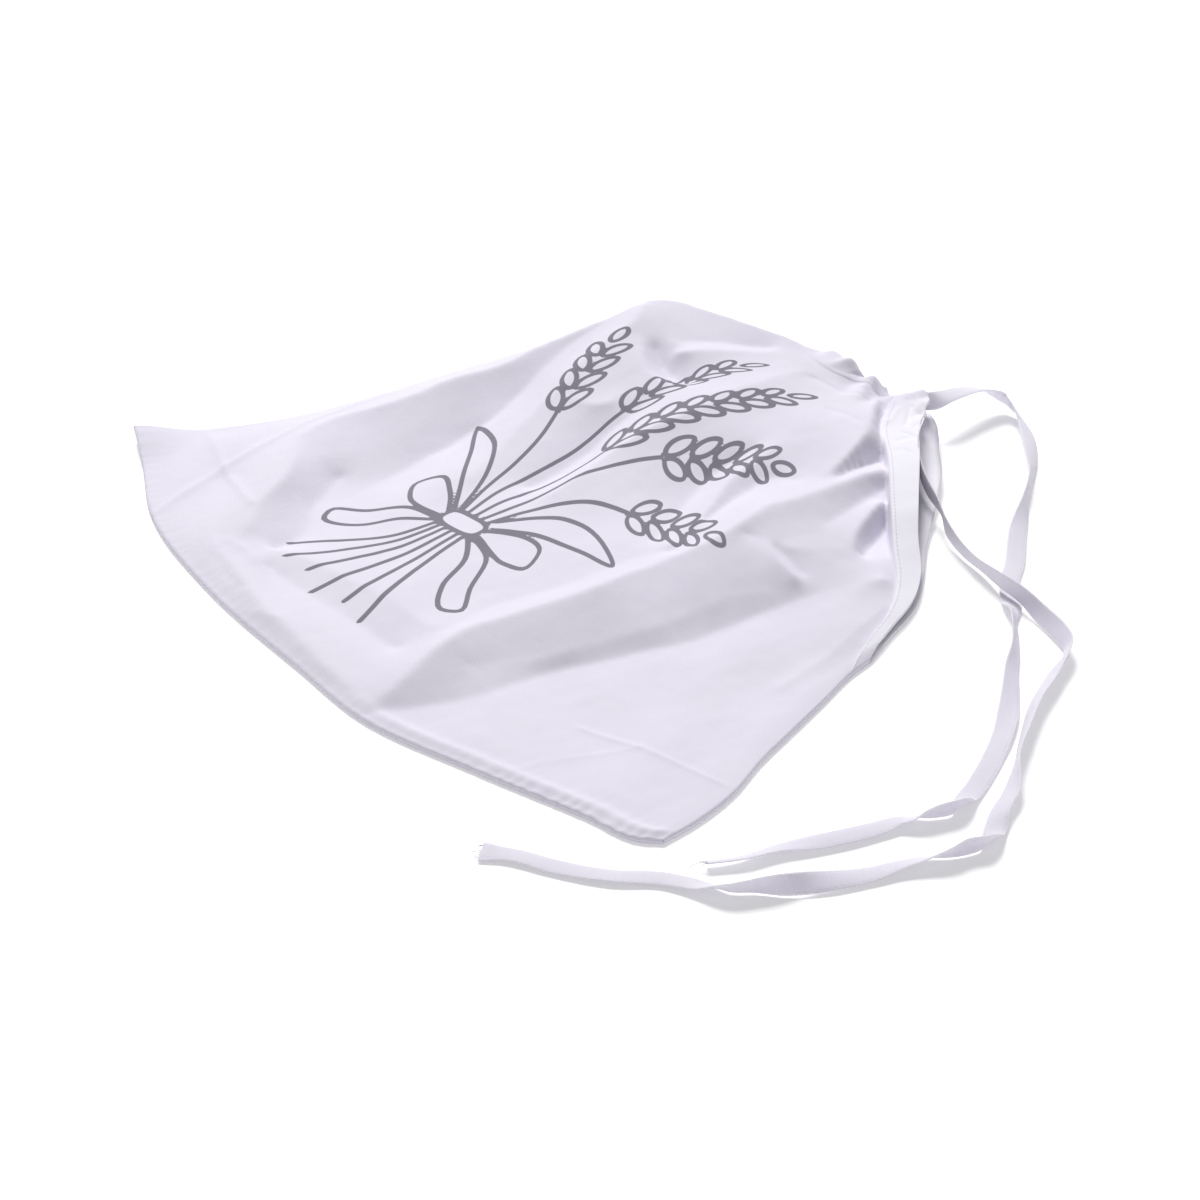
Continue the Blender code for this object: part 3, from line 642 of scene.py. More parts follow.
    def inner(self, outer: np.ndarray, hem: np.ndarray, layer: Layer) -> np.ndarray:
        """Inner skin: the outer one moved in along its normal by the thickness there, hem and all.

        Args:
            outer: grid of outer points.
            hem: how much of the hem's extra thickness each has.
            layer: front or back.

        Returns:
            Grid of inner points.
        """
        normal = np.cross(np.gradient(outer, axis=1), np.gradient(outer, axis=0))
        normal /= np.linalg.norm(normal, axis=-1, keepdims=True)
        inwards = -1.0 if layer is Layer.FRONT else 1.0
        return outer + inwards * normal * (self.cloth + self.hem_extra * hem)[..., None]


BROAD_WAVES = Waves(seed=5, count=14, height=0.55 * MM, shortest=34 * MM, longest=90 * MM,
                    heading=20, scatter=40)
FINE_WAVES = Waves(seed=11, count=26, height=0.05 * MM, shortest=9 * MM, longest=26 * MM,
                   heading=10, scatter=55)


@dataclass(frozen=True)
class Grid:
    """Rows and columns of shares for one layer, close together at the joined edges and in the hem."""

    edge_cells: int
    edge_width: float
    columns: int
    body_rows: int
    hem_rows: int

    def across(self, form: BagForm) -> np.ndarray:
        """Shares of the columns, denser at both sides.

        Args:
            form: the bag's sizes.

        Returns:
            The shares, from 0 to 1.
        """
        edge = np.linspace(0, self.edge_width / form.cloth_width, self.edge_cells + 1)
        body = np.linspace(edge[-1], 1 - edge[-1], self.columns)
        return np.concatenate((edge[:-1], body, 1 - edge[-2::-1]))

    def shares(self, layer: Layer, form: BagForm) -> tuple[np.ndarray, np.ndarray]:
        """Shares across and up of every grid point.

        Args:
            layer: front or back.
            form: the bag's sizes.

        Returns:
            Two arrays of the grid's shape, rows first.
        """
        across = self.across(form)
        mouth, _ = form.mouth_line(layer, across)
        length = np.linalg.norm(mouth - smooth_curve(BOTTOM_EDGE, across) * MM, axis=-1)
        hem_start = 1 - (form.depth_at(across) + form.hem_step) / length
        edge = np.linspace(0, self.edge_width, self.edge_cells + 1)[:-1, None] / length
        body_start = self.edge_width / length
        body = body_start + np.linspace(0, 1, self.body_rows)[:, None] * (hem_start - body_start)
        hem = hem_start + np.linspace(0, 1, self.hem_rows + 1)[1:, None] * (1 - hem_start)
        up = np.concatenate((edge, body, hem))
        return np.broadcast_to(across, up.shape).copy(), up


def sheet_faces(outer_shape: tuple[int, int], inner_shape: tuple[int, int], start: int) -> np.ndarray:
    """Quads and triangles of a closed thin sheet whose inner skin has every second row and column.

    The outer grid comes first, then the inner one from index start. Along the rim, each inner edge takes two
    outer ones, in three triangles.

    Args:
        outer_shape: rows and columns of the outer grid, both odd.
        inner_shape: rows and columns of the inner grid.
        start: index of the inner grid's first point.

    Returns:
        Triangles, with the outer skin turned up.
    """
    outer = np.arange(outer_shape[0] * outer_shape[1]).reshape(outer_shape)
    inner = start + np.arange(inner_shape[0] * inner_shape[1]).reshape(inner_shape)

    def skin(net: np.ndarray) -> np.ndarray:
        """Two triangles for each cell."""
        a, b, c, d = net[:-1, :-1], net[:-1, 1:], net[1:, 1:], net[1:, :-1]
        return np.concatenate([np.stack(corners, -1).reshape(-1, 3) for corners in ((a, b, c), (a, c, d))])

    def loop(net: np.ndarray) -> np.ndarray:
        """The rim, counter-clockwise from above, with its first point again at the end."""
        return np.concatenate((net[0, :-1], net[:-1, -1], net[-1, :0:-1], net[::-1, 0]))

    o, i = loop(outer), loop(inner)
    rim = np.concatenate((np.stack((o[0:-1:2], i[:-1], o[1::2]), -1),
                          np.stack((o[1::2], i[:-1], i[1:]), -1),
                          np.stack((o[1::2], i[1:], o[2::2]), -1)))
    return np.concatenate((skin(outer), skin(inner)[:, ::-1], rim))


def add_mesh(name: str, points: np.ndarray, faces: np.ndarray,
             material: bpy.types.Material) -> bpy.types.Object:
    """One smooth-shaded piece at the origin.

    Args:
        name: the piece's name.
        points: vertices, one a row.
        faces: triangles or quads, one a row.
        material: its finish.

    Returns:
        The new object.
    """
    mesh = bpy.data.meshes.new(name)
    corners = faces.shape[1]
    mesh.vertices.add(len(points))
    mesh.vertices.foreach_set("co", np.ascontiguousarray(points, np.float32).ravel())
    mesh.loops.add(faces.size)
    mesh.loops.foreach_set("vertex_index", np.ascontiguousarray(faces, np.int32).ravel())
    mesh.polygons.add(len(faces))
    mesh.polygons.foreach_set("loop_start", np.arange(0, faces.size, corners, dtype=np.int32))
    mesh.update(calc_edges=True)
    mesh.materials.append(material)
    mesh.shade_smooth()
    piece = bpy.data.objects.new(name, mesh)
    bpy.context.scene.collection.objects.link(piece)
    return piece


def set_attribute(piece: bpy.types.Object, name: str, values: np.ndarray) -> None:
    """One number for each vertex, under a name that a material can read."""
    layer = piece.data.attributes.new(name, "FLOAT", "POINT")
    layer.data.foreach_set("value", np.ascontiguousarray(values, np.float32).ravel())


def set_uv(piece: bpy.types.Object, uv: np.ndarray) -> None:
    """A UV map from one pair for each vertex.

    Args:
        piece: the piece.
        uv: one pair for each vertex.
    """
    corners = np.zeros(len(piece.data.loops), np.int32)
    piece.data.loops.foreach_get("vertex_index", corners)
    layer = piece.data.uv_layers.new(name="cloth")
    layer.data.foreach_set("uv", np.ascontiguousarray(uv[corners], np.float32).ravel())


def tube_faces(rings: int, sides: int) -> np.ndarray:
    """Two triangles for each cell between neighbouring rings of an open tube.

    Args:
        rings: how many rings.
        sides: how many points on each.

    Returns:
        Triangles, with the tube's outer side turned up.
    """
    index = np.arange(rings * sides).reshape(rings, sides)
    around = np.roll(index, -1, axis=1)
    quads = np.stack((index[:-1], around[:-1], around[1:], index[1:]), -1).reshape(-1, 4)
    return np.concatenate((quads[:, [0, 1, 2]], quads[:, [0, 2, 3]]))


def new_material(name: str) -> tuple[bpy.types.Material, bpy.types.Node]:
    """A material that is made of nodes.

    Args:
        name: its name.

    Returns:
        The material and its surface node.
    """
    material = bpy.data.materials.new(name)
    material.use_nodes = True
    return material, material.node_tree.nodes["Principled BSDF"]


def set_inputs(node: bpy.types.Node, values: dict[str, float | tuple[float, ...]]) -> None:
    """A material node's own values, each by its input's name."""
    for name, value in values.items():
        node.inputs[name].default_value = value


def heading(degrees: float) -> tuple[np.ndarray, np.ndarray]:
    """Unit vectors ahead and to the right, for an angle from upright in degrees."""
    ahead = np.array((np.sin(np.radians(degrees)), np.cos(np.radians(degrees))))
    return ahead, np.array((ahead[1], -ahead[0]))


@dataclass(frozen=True)
class SheafPrint:
    """A line drawing of a tied sheaf of wheat, in millimetres on the flat front.

    Places on it are from the knot, and the knot's own from the cloth's lower left corner.
    """

    knot: tuple[float, float] = (166.0, 112.0)
    reach: float = 6.0  # how far from a line its distance is worked out
    beyond: float = 9.0  # the distance given to all cloth past that
    band: tuple[float, float] = (15.0, 6.0)
    band_power: float = 0.6
    band_points: int = 33
    grain: tuple[float, float] = (17.5, 4.0)
    grain_taper: float = 0.3
    grain_points: int = 27
    grain_lean: float = 33.0
    grain_pitch: float = 14.5
    grain_aside: float = 1.6
    grain_shrink: float = 0.03
    stalk_flare: float = 1.6
    stalk_rise: float = 14.0
    stalk_end: tuple[float, float] = (22.0, 2.0)
    foot_flare: float = 1.35
    foot_drop: float = 18.0
    loop_points: int = 34
    # for each ear: where its stalk leaves the band, its root, its heading, its bend a pair, pairs of grains
    ears: tuple[tuple[float, float, float, float, float, int], ...] = (
        (-10.5, -47, 78, -38, -3, 4), (-5.5, -19, 104, -15, 1.5, 5), (0.0, 8, 78, 6, 1, 7),
        (5.5, 36, 92, 28, 2, 5), (10.5, 58, 66, 50, 4, 4))
    # for each foot: where its stalk leaves the band, and its end
    feet: tuple[tuple[float, float, float], ...] = (
        (-11.5, -42, -66), (-7.5, -27, -74), (-3.0, -11, -71), (2.0, 5, -78), (7.0, 21, -72), (11.5, 38, -75))
    # outlines from the knot: the bow's right loop and tail, which the left ones mirror, and both leaves
    bow: tuple[tuple[float, float], ...] = ((15, -3), (44, -6), (56, 3), (50, 13), (32, 10), (15, 1))
    bow_points: int = 30
    tail: tuple[tuple[float, float], ...] = (
        (14, -6), (29, -18), (40, -36), (57, -44), (63, -38), (50, -26), (36, -11), (16, -5))
    leaves: tuple[tuple[tuple[float, float], ...], ...] = (
        ((-13, 7), (-30, 30), (-52, 44), (-84, 46), (-60, 34), (-38, 20), (-16, 5)),
        ((14, 10), (36, 31), (58, 43), (88, 42), (66, 31), (45, 20), (18, 5)))

    def curve(self, points: Sequence, count: int = 18) -> np.ndarray:
        """A smooth line through points round the knot."""
        return smooth_curve(np.array(points, float) + self.knot, np.linspace(0, 1, count))

    def ear(self, root: np.ndarray, lean: float, bend: float, pairs: int) -> list[np.ndarray]:
        """One ear: pairs of grains, and one at its tip.

        At t round a grain, a point is l (1 - cos t) / 2 along it and w sin t |sin t|^taper to its side.

        Args:
            root: where it starts.
            lean: its heading, in degrees from upright.
            bend: how far it turns from one pair to the next.
            pairs: how many pairs of grains.

        Returns:
            The closed outlines.
        """
        turn = np.linspace(0, 2 * np.pi, self.grain_points)
        long, wide = self.grain
        lines = []
        for pair in range(pairs + 1):
            ahead, right = heading(lean)
            size = 1 - self.grain_shrink * pair
            for side in (-1, 1) if pair < pairs else (0,):
                axis, cross = heading(lean + side * self.grain_lean)
                start = root + right * side * self.grain_aside
                bulge = np.sin(turn) * np.abs(np.sin(turn)) ** self.grain_taper
                lines.append(start + np.outer(long * size * (1 - np.cos(turn)) / 2, axis)
                             + np.outer(wide * size * bulge, cross))
            root = root + ahead * self.grain_pitch * size
            lean += bend
        return lines

    def lines(self) -> list[np.ndarray]:
        """Every line of the drawing.

        Closed ones run counter-clockwise, and open neighbours in turn up and down, so that sides which face
        each other have one sign. At t round the band, a point is w |cos t|^p across and h |sin t|^p up, with
        the signs of the cosine and the sine.

        Returns:
            The points of each line.
        """
        high = self.band[1]
        found = []
        for k, (leave, x, y, lean, bend, pairs) in enumerate(self.ears):
            ahead, _ = heading(lean)
            root = np.array((x, y))
            stalk = self.curve([(leave, high), (leave * self.stalk_flare, high + self.stalk_rise),
                                *(root - ahead * short for short in self.stalk_end)])
            found.append(stalk if k % 2 else stalk[::-1])
            found += self.ear(root + self.knot, lean, bend, pairs)
        for k, (leave, x, y) in enumerate(self.feet):
            stalk = self.curve([(leave, -high), (leave * self.foot_flare, -high - self.foot_drop), (x, y)])
            found.append(stalk[::-1] if k % 2 else stalk)
        turn = np.linspace(0, 2 * np.pi, self.band_points)
        circle = np.stack((np.cos(turn), np.sin(turn)), -1)
        found.append(self.knot + rounded(circle, self.band_power) * self.band)
        for side in (-1, 1):
            for loop in (self.curve(self.bow, self.bow_points), self.curve(self.tail, self.loop_points)):
                aside = (loop - self.knot) * (side, 1) + self.knot
                found.append(aside if side > 0 else aside[::-1])
        for leaf in self.leaves:
            outline = self.curve(leaf, self.loop_points)
            found.append(outline[::-1] if leaf[0][0] > 0 else outline)
        return found

    def ink(self, cloth: np.ndarray) -> tuple[np.ndarray, np.ndarray]:
        """How far each point is from the nearest line.

        Args:
            cloth: points on the flat cloth, in millimetres.

        Returns:
            The distance with a minus on the left of the line, which runs evenly across it, and the plain one.
        """
        offset, distance = np.full(len(cloth), self.beyond), np.full(len(cloth), self.beyond)
        for line in self.lines():
            low, high = line.min(axis=0) - self.reach, line.max(axis=0) + self.reach
            near = np.flatnonzero(np.all((cloth > low) & (cloth < high), axis=1))
            points = cloth[near]
            for start, end in zip(line[:-1], line[1:]):
                step = end - start
                away = points - start
                ratio = np.clip(away @ step / max(step @ step, 1e-9), 0, 1)
                far = np.linalg.norm(away - ratio[:, None] * step, axis=1)
                side = away[:, 0] * step[1] - away[:, 1] * step[0]
                closer = far < distance[near]
                distance[near[closer]] = far[closer]
                offset[near[closer]] = np.copysign(far, side)[closer]
        return offset, distance


@dataclass(frozen=True)
class Nodes:
    """A material's nodes, and the steps that a finish is made of."""

    tree: bpy.types.NodeTree

    def within(self, value: bpy.types.NodeSocket, limit: float, blur: float) -> bpy.types.NodeSocket:
        """A share that falls smoothly from 1 to 0 where a value passes a limit.

        Args:
            value: the value's socket.
            limit: where it is a half.
            blur: how far to either side of the limit it falls.

        Returns:
            The share's socket.
        """
        edge = self.tree.nodes.new("ShaderNodeMapRange")
        edge.interpolation_type = "SMOOTHSTEP"
        set_inputs(edge, {"From Min": limit - blur, "From Max": limit + blur, "To Min": 1.0, "To Max": 0.0})
        self.tree.links.new(value, edge.inputs["Value"])
        return edge.outputs["Result"]

    def math(self, operation: str, first: bpy.types.NodeSocket,
             second: bpy.types.NodeSocket | float = 0.0) -> bpy.types.NodeSocket:
        """One sum, product or the like.

        Args:
            operation: Blender's name for it.
            first: the first value's socket.
            second: the second value, or its socket.

        Returns:
            The result's socket.
        """
        node = self.tree.nodes.new("ShaderNodeMath")
        node.operation = operation
        self.tree.links.new(first, node.inputs[0])
        if isinstance(second, float):
            node.inputs[1].default_value = second
        else:
            self.tree.links.new(second, node.inputs[1])
        return node.outputs["Value"]

    def blend(self, share: bpy.types.NodeSocket,
              under: bpy.types.NodeSocket | tuple[float, float, float],
              over: tuple[float, float, float]) -> bpy.types.NodeSocket:
        """One colour over another.

        Args:
            share: the upper colour's share.
            under: the lower colour, or its socket.
            over: the upper colour.

        Returns:
            The socket of the colour that comes of it.
        """
        mix = self.tree.nodes.new("ShaderNodeMix")
        mix.data_type = "RGBA"
        mix.inputs["B"].default_value = (*over, 1)
        self.tree.links.new(share, mix.inputs["Factor"])
        if isinstance(under, tuple):
            mix.inputs["A"].default_value = (*under, 1)
        else:
            self.tree.links.new(under, mix.inputs["A"])
        return mix.outputs["Result"]

    def noise(self, place: bpy.types.NodeSocket, scale: float, detail: float) -> bpy.types.NodeSocket:
        """An uneven share from a noise.

        Args:
            place: the socket of the places it is read at.
            scale: its scale.
            detail: how many finer noises it has.

        Returns:
            The share's socket.
        """
        node = self.tree.nodes.new("ShaderNodeTexNoise")
        set_inputs(node, {"Scale": scale, "Detail": detail})
        self.tree.links.new(place, node.inputs["Vector"])
        return node.outputs["Fac"]

    def attribute(self, name: str) -> bpy.types.NodeSocket:
        """One number that the mesh has at each of its vertices.

        Args:
            name: the attribute's name.

        Returns:
            The number's socket.
        """
        node = self.tree.nodes.new("ShaderNodeAttribute")
        node.attribute_name = name
        return node.outputs["Fac"]


@dataclass(frozen=True)
class Cotton:
    """Plain-woven white cotton, with an optional printed ink."""

    name: str
    printed: bool = False

    # colours: the cloth and its uneven tint, the doubled hem's painted light, the stitches and the ink
    colour: tuple[float, float, float] = (0.785, 0.758, 0.845)
    tint: tuple[float, float, float] = (0.745, 0.713, 0.812)
    # painted light: the doubled hem is painted in this whiter colour, for its lit look and the light it holds
    # back
    doubled_hem_painted_light: tuple[float, float, float] = (0.88, 0.86, 0.92)
    thread: tuple[float, float, float] = (0.68, 0.65, 0.74)
    ink: tuple[float, float, float] = (0.215, 0.20, 0.245)
    tone_scale: float = 16.0
    tone_detail: float = 4.0

    # how it takes the light
    roughness: float = 0.88
    specular: float = 0.25
    sheen: float = 0.12
    sheen_roughness: float = 0.5
    glow: float = 0.0
    glow_reach: float = 4.0 * MM

    # relief: the weave's ribs and slubs, with scales for places in units of its pitch, and the crumple
    soft_relief: float = 0.5
    weave_pitch: float = 0.8 * MM
    weave_depth: float = 0.10 * MM
    rib_scale: float = 0.31416  # gives one rib a unit
    rib_wobble: float = 1.2
    rib_detail: float = 2.0
    rib_detail_scale: float = 0.6
    slub_scale: float = 0.35
    slub_detail: float = 3.0
    crumple_scale: float = 75.0
    crumple_detail: float = 5.0
    crumple_depth: float = 0.5 * MM

    # stitches, in millimetres as their attributes are; the blurs are across and along the thread
    stitch_half: float = 0.2
    stitch_blur: tuple[float, float] = (0.15, 0.25)
    stitch_pitch: float = 2.8
    stitch_share: float = 0.33
    stitch_depth: float = 0.2 * MM
    stitch_relief: float = 0.6

    # printed lines, in millimetres: half their width, its blur, and its slack at a line's ends
    ink_half: float = 1.3
    ink_blur: float = 0.22
    ink_slack: float = 0.45

    def make(self) -> bpy.types.Material:
        """The material: two crossed wave patterns for the weave, a broad noise for tone, and the ink.

        Where the hem doubles the cloth it is painted whiter, as painted light: it stands in for the band's
        lit look and for the light that the doubled cloth holds back.

        Returns:
            A new material.
        """
        material, surface = new_material(self.name)
        nodes = Nodes(material.node_tree)
        tree = material.node_tree
        set_inputs(surface, {
            "Roughness": self.roughness, "Specular IOR Level": self.specular, "Sheen Weight": self.sheen,
            "Sheen Roughness": self.sheen_roughness, "Subsurface Weight": self.glow,
            "Subsurface Radius": (1.0, 1.0, 1.0), "Subsurface Scale": self.glow_reach})
        place = tree.nodes.new("ShaderNodeTexCoord")
        tone = nodes.noise(place.outputs["Object"], self.tone_scale, self.tone_detail)
        colour = nodes.blend(tone, self.colour, self.tint)
        # painted light: whiter where the hem doubles the cloth
        colour = nodes.blend(nodes.attribute("doubled_hem_painted_light"), colour, self.doubled_hem_painted_light)
        colour, seams = self.add_stitches(nodes, colour)
        height = self.weave(nodes, place.outputs["UV"])
        crumple = nodes.noise(place.outputs["Object"], self.crumple_scale, self.crumple_detail)
        normal = None
        reliefs = ((crumple, self.crumple_depth, self.soft_relief),
                   (height, self.weave_depth, self.soft_relief),
                   (seams, -self.stitch_depth, self.stitch_relief))
        for socket, depth, strength in reliefs:
            bump = tree.nodes.new("ShaderNodeBump")
            bump.invert = depth < 0
            set_inputs(bump, {"Strength": strength, "Distance": abs(depth)})
            tree.links.new(socket, bump.inputs["Height"])
            if normal is not None:
                tree.links.new(normal, bump.inputs["Normal"])
            normal = bump.outputs["Normal"]
        tree.links.new(normal, surface.inputs["Normal"])
        if self.printed:
            colour = self.add_ink(nodes, colour)
        tree.links.new(colour, surface.inputs["Base Color"])
        return material

    def weave(self, nodes: Nodes, place: bpy.types.NodeSocket) -> bpy.types.NodeSocket:
        """Height of the weave: two sets of ribs, one along each thread direction, with slubs from a noise.

        Args:
            nodes: the material's nodes.
            place: the socket of the places on the flat cloth.

        Returns:
            The height's socket.
        """
        scaled = nodes.tree.nodes.new("ShaderNodeMapping")
        scaled.inputs["Scale"].default_value = (1 / self.weave_pitch,) * 3
        nodes.tree.links.new(place, scaled.inputs["Vector"])
        ribs = []
        for direction in ("X", "Y"):
            wave = nodes.tree.nodes.new("ShaderNodeTexWave")
            wave.bands_direction = direction
            set_inputs(wave, {"Scale": self.rib_scale, "Distortion": self.rib_wobble,
                              "Detail": self.rib_detail, "Detail Scale": self.rib_detail_scale})
            nodes.tree.links.new(scaled.outputs["Vector"], wave.inputs["Vector"])
            ribs.append(wave.outputs["Fac"])
        slub = nodes.noise(scaled.outputs["Vector"], self.slub_scale, self.slub_detail)
        return nodes.math("ADD", nodes.math("MAXIMUM", *ribs), slub)

    def add_stitches(self, nodes: Nodes,
                     colour: bpy.types.NodeSocket) -> tuple[bpy.types.NodeSocket, bpy.types.NodeSocket]:
        """A row of short stitches where the seam is near, darker than the cloth and drawn in.

        Args:
            nodes: the material's nodes.
            colour: the cloth's colour.

        Returns:
            The sockets of the stitched colour and of the stitches' share.
        """
        near = nodes.math("ABSOLUTE", nodes.attribute("seam_distance"))
        beat = nodes.math("PINGPONG", nodes.attribute("seam_along"), self.stitch_pitch / 2)
        across = nodes.within(near, self.stitch_half, self.stitch_blur[0])
        along = nodes.within(beat, self.stitch_pitch * self.stitch_share, self.stitch_blur[1])
        stitched = nodes.math("MULTIPLY", across, along)
        return nodes.blend(stitched, colour, self.thread), stitched

    def add_ink(self, nodes: Nodes, colour: bpy.types.NodeSocket) -> bpy.types.NodeSocket:
        """Mixes in the ink where both distances say that a point lies within half a line's width.

        Args:
            nodes: the material's nodes.
            colour: the cloth's colour.

        Returns:
            The printed colour's socket.
        """
        shares = []
        for name, limit in (("ink_offset", self.ink_half), ("ink_distance", self.ink_half + self.ink_slack)):
            size = nodes.math("ABSOLUTE", nodes.attribute(name))
            shares.append(nodes.within(size, limit, self.ink_blur))
        return nodes.blend(nodes.math("MULTIPLY", *shares), colour, self.ink)


@dataclass
class ClothBag:
    """The bag's cloth: a front and a back sheet, joined along the bottom and both sides."""

    form: BagForm
    front_grid: Grid
    back_grid: Grid
    drawing: SheafPrint

    @staticmethod
    def both_skins(values: np.ndarray) -> np.ndarray:
        """Values of the outer skin's grid, then of every second row and column, which the inner one has."""
        return np.concatenate([grid.reshape(-1, *values.shape[2:]) for grid in (values, values[::2, ::2])])

    def sheet(self, layer: Layer, grid: Grid, name: str, material: bpy.types.Material) -> bpy.types.Object:
        """One closed thin sheet, from its outer grid and every second point of the inner one.

        Args:
            layer: front or back.
            grid: its rows and columns.
            name: the piece's name.
            material: its finish.

        Returns:
            The new object.
        """
        across, up = grid.shares(layer, self.form)
        outer, hem = self.form.outer(layer, across, up)
        inner = self.form.inner(outer, hem, layer)[::2, ::2]
        points = np.concatenate((outer.reshape(-1, 3), inner.reshape(-1, 3)))
        faces = sheet_faces(outer.shape[:2], inner.shape[:2], outer.shape[0] * outer.shape[1])
        if layer is Layer.BACK:
            faces = faces[:, ::-1]
        piece = add_mesh(name, points, faces, material)
        cloth = np.stack((across * self.form.cloth_width, up * self.form.cloth_length), -1)
        flat = self.both_skins(cloth)
        set_uv(piece, flat)
        # share of the doubled hem that is painted whiter, as painted light; on the back it starts further
        # along
        start, blend = self.form.gathers_end, self.form.gathers_blend
        if layer is Layer.BACK:
            start, blend = self.form.back_painted_light_start, self.form.back_painted_light_blend
        set_attribute(piece, "doubled_hem_painted_light", self.both_skins(hem * smooth_step((across - start) / blend)))
        _, to_mouth, _ = self.form.plan(layer, across, up)
        seam = (to_mouth - self.form.depth_at(across) + self.form.hem_inset) / MM
        seam += self.form.no_seam * (across < self.form.gathers_end)
        plain = np.full(inner[..., 0].size, self.form.no_seam)
        set_attribute(piece, "seam_distance", np.concatenate((seam.ravel(), plain)))
        set_attribute(piece, "seam_along", flat[:, 0] / MM)
        if layer is Layer.FRONT:
            for name, values in zip(("ink_offset", "ink_distance"), self.drawing.ink(flat / MM)):
                values[across.size:] = self.drawing.beyond
                set_attribute(piece, name, values)
        return piece

    def build(self) -> list[bpy.types.Object]:
        """Both sheets, dressed and riding on the body.

        Returns:
            The front and the back sheet.
        """
        pieces = [self.sheet(Layer.FRONT, self.front_grid, "front_cloth",
                             Cotton("printed cotton", printed=True).make()),
                  self.sheet(Layer.BACK, self.back_grid, "back_cloth", Cotton("back cotton").make())]
        for piece in pieces:
            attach(piece, "root")
            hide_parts("bag_cloth")
        return pieces


# Routes of the ties: plan point, height of the middle line, and the flat side's turn from level, in degrees
TIE_COLUMNS = ("x", "y", "z", "turn")
TIE_UPPER = ((24, 170, 17.3, 32), (31, 174, 18, 53), (32, 182, 18, 18), (32, 192, 17.2, 3),
             (32, 203, 15, -12), (34, 211, 12, -35), (38, 216, 8.6, -62), (45, 216, 6.2, -62),
             (55, 212, 4.7, -47), (67, 204, 4.5, -34), (83, 190, 4.6, -47), (94, 179, 5, -72),
             (110, 159, 4.8, -69), (125, 139, 2.4, -19), (141, 121, 1, 0), (149, 110, 1, 0),
             (156, 103, 1, 0), (163, 97, 1.5, -7), (174, 87, 4.8, -66), (184, 78, 5, -69),
             (193, 69, 4.7, -64), (201, 59, 4.2, -49), (214, 45, 2.9, -26), (227, 29, 1.6, 8),
             (240, 8, 1, 0), (248, -8, 1, 0), (252, -18, 1.9, 12), (256, -27, 4.9, 72), (254, -34, 4.9, 72),
             (252, -39, 4.5, 58), (250, -43, 3.3, 33), (246, -49, 2.2, 16), (245, -55, 2, 6),
             (241, -71, 2.4, -2), (237, -82, 2.4, -1), (231, -95, 2.3, 18), (227, -112, 2.9, 27),
             (221, -124, 2.9, 26))
TIE_LOWER = ((43, 155, 17.2, 62), (53, 144, 16.9, 84), (62, 136, 15.9, 90), (72, 129, 14, 91),
             (83, 123, 12.5, 93), (96, 118, 10.3, 104), (108, 111, 8, 94), (120, 107, 6.2, 100),
             (138, 103, 6, 111), (152, 100, 7.3, 98), (166, 99, 7.3, 88), (180, 97, 5.2, 66),
             (194, 94, 4.5, 56), (203, 90, 4.8, 68), (213, 72, 4.1, 48), (225, 48, 4.4, 54),
             (237, 30, 4.7, 65), (250, 12, 5, 75), (261, -2, 3.5, 36), (267, -14, 2.8, 25),
             (274, -24, 1.6, 8), (279, -34, 4.8, 70), (277, -41, 5, 84), (275, -49, 4.6, 62),
             (271, -57, 3.4, 34), (267, -66, 2.4, 20), (264, -78, 1.9, 3), (257, -98, 3.6, -29),
             (251, -111, 4.8, -69), (245, -120, 5, -103), (239, -129, 4.5, -124), (230, -134, 2.4, -161),
             (218, -141, 1.4, -174), (203, -157, 1.6, -171), (185, -170, 1.3, -176), (172, -177, 1.5, -173),
             (161, -186, 1.2, -183))

# Threads at the ties' cut ends: place across the tape, length, bend aside and rise of each
KNOTTED = ((-1.0, 9, 0.5, 2), (0.6, 7, 0.9, 1), (1.4, 4, -0.4, 0), (-0.2, 3, 0.1, 1))
FRAYED = ((-4.2, 3.5, -0.6, 0), (-2.6, 2.2, -0.2, 0.5), (-0.8, 4.5, 0.1, 0.6), (1.2, 2.6, 0.3, 0),
          (2.9, 3.2, -0.1, 0.4), (4.4, 3.0, 0.7, 0.2))


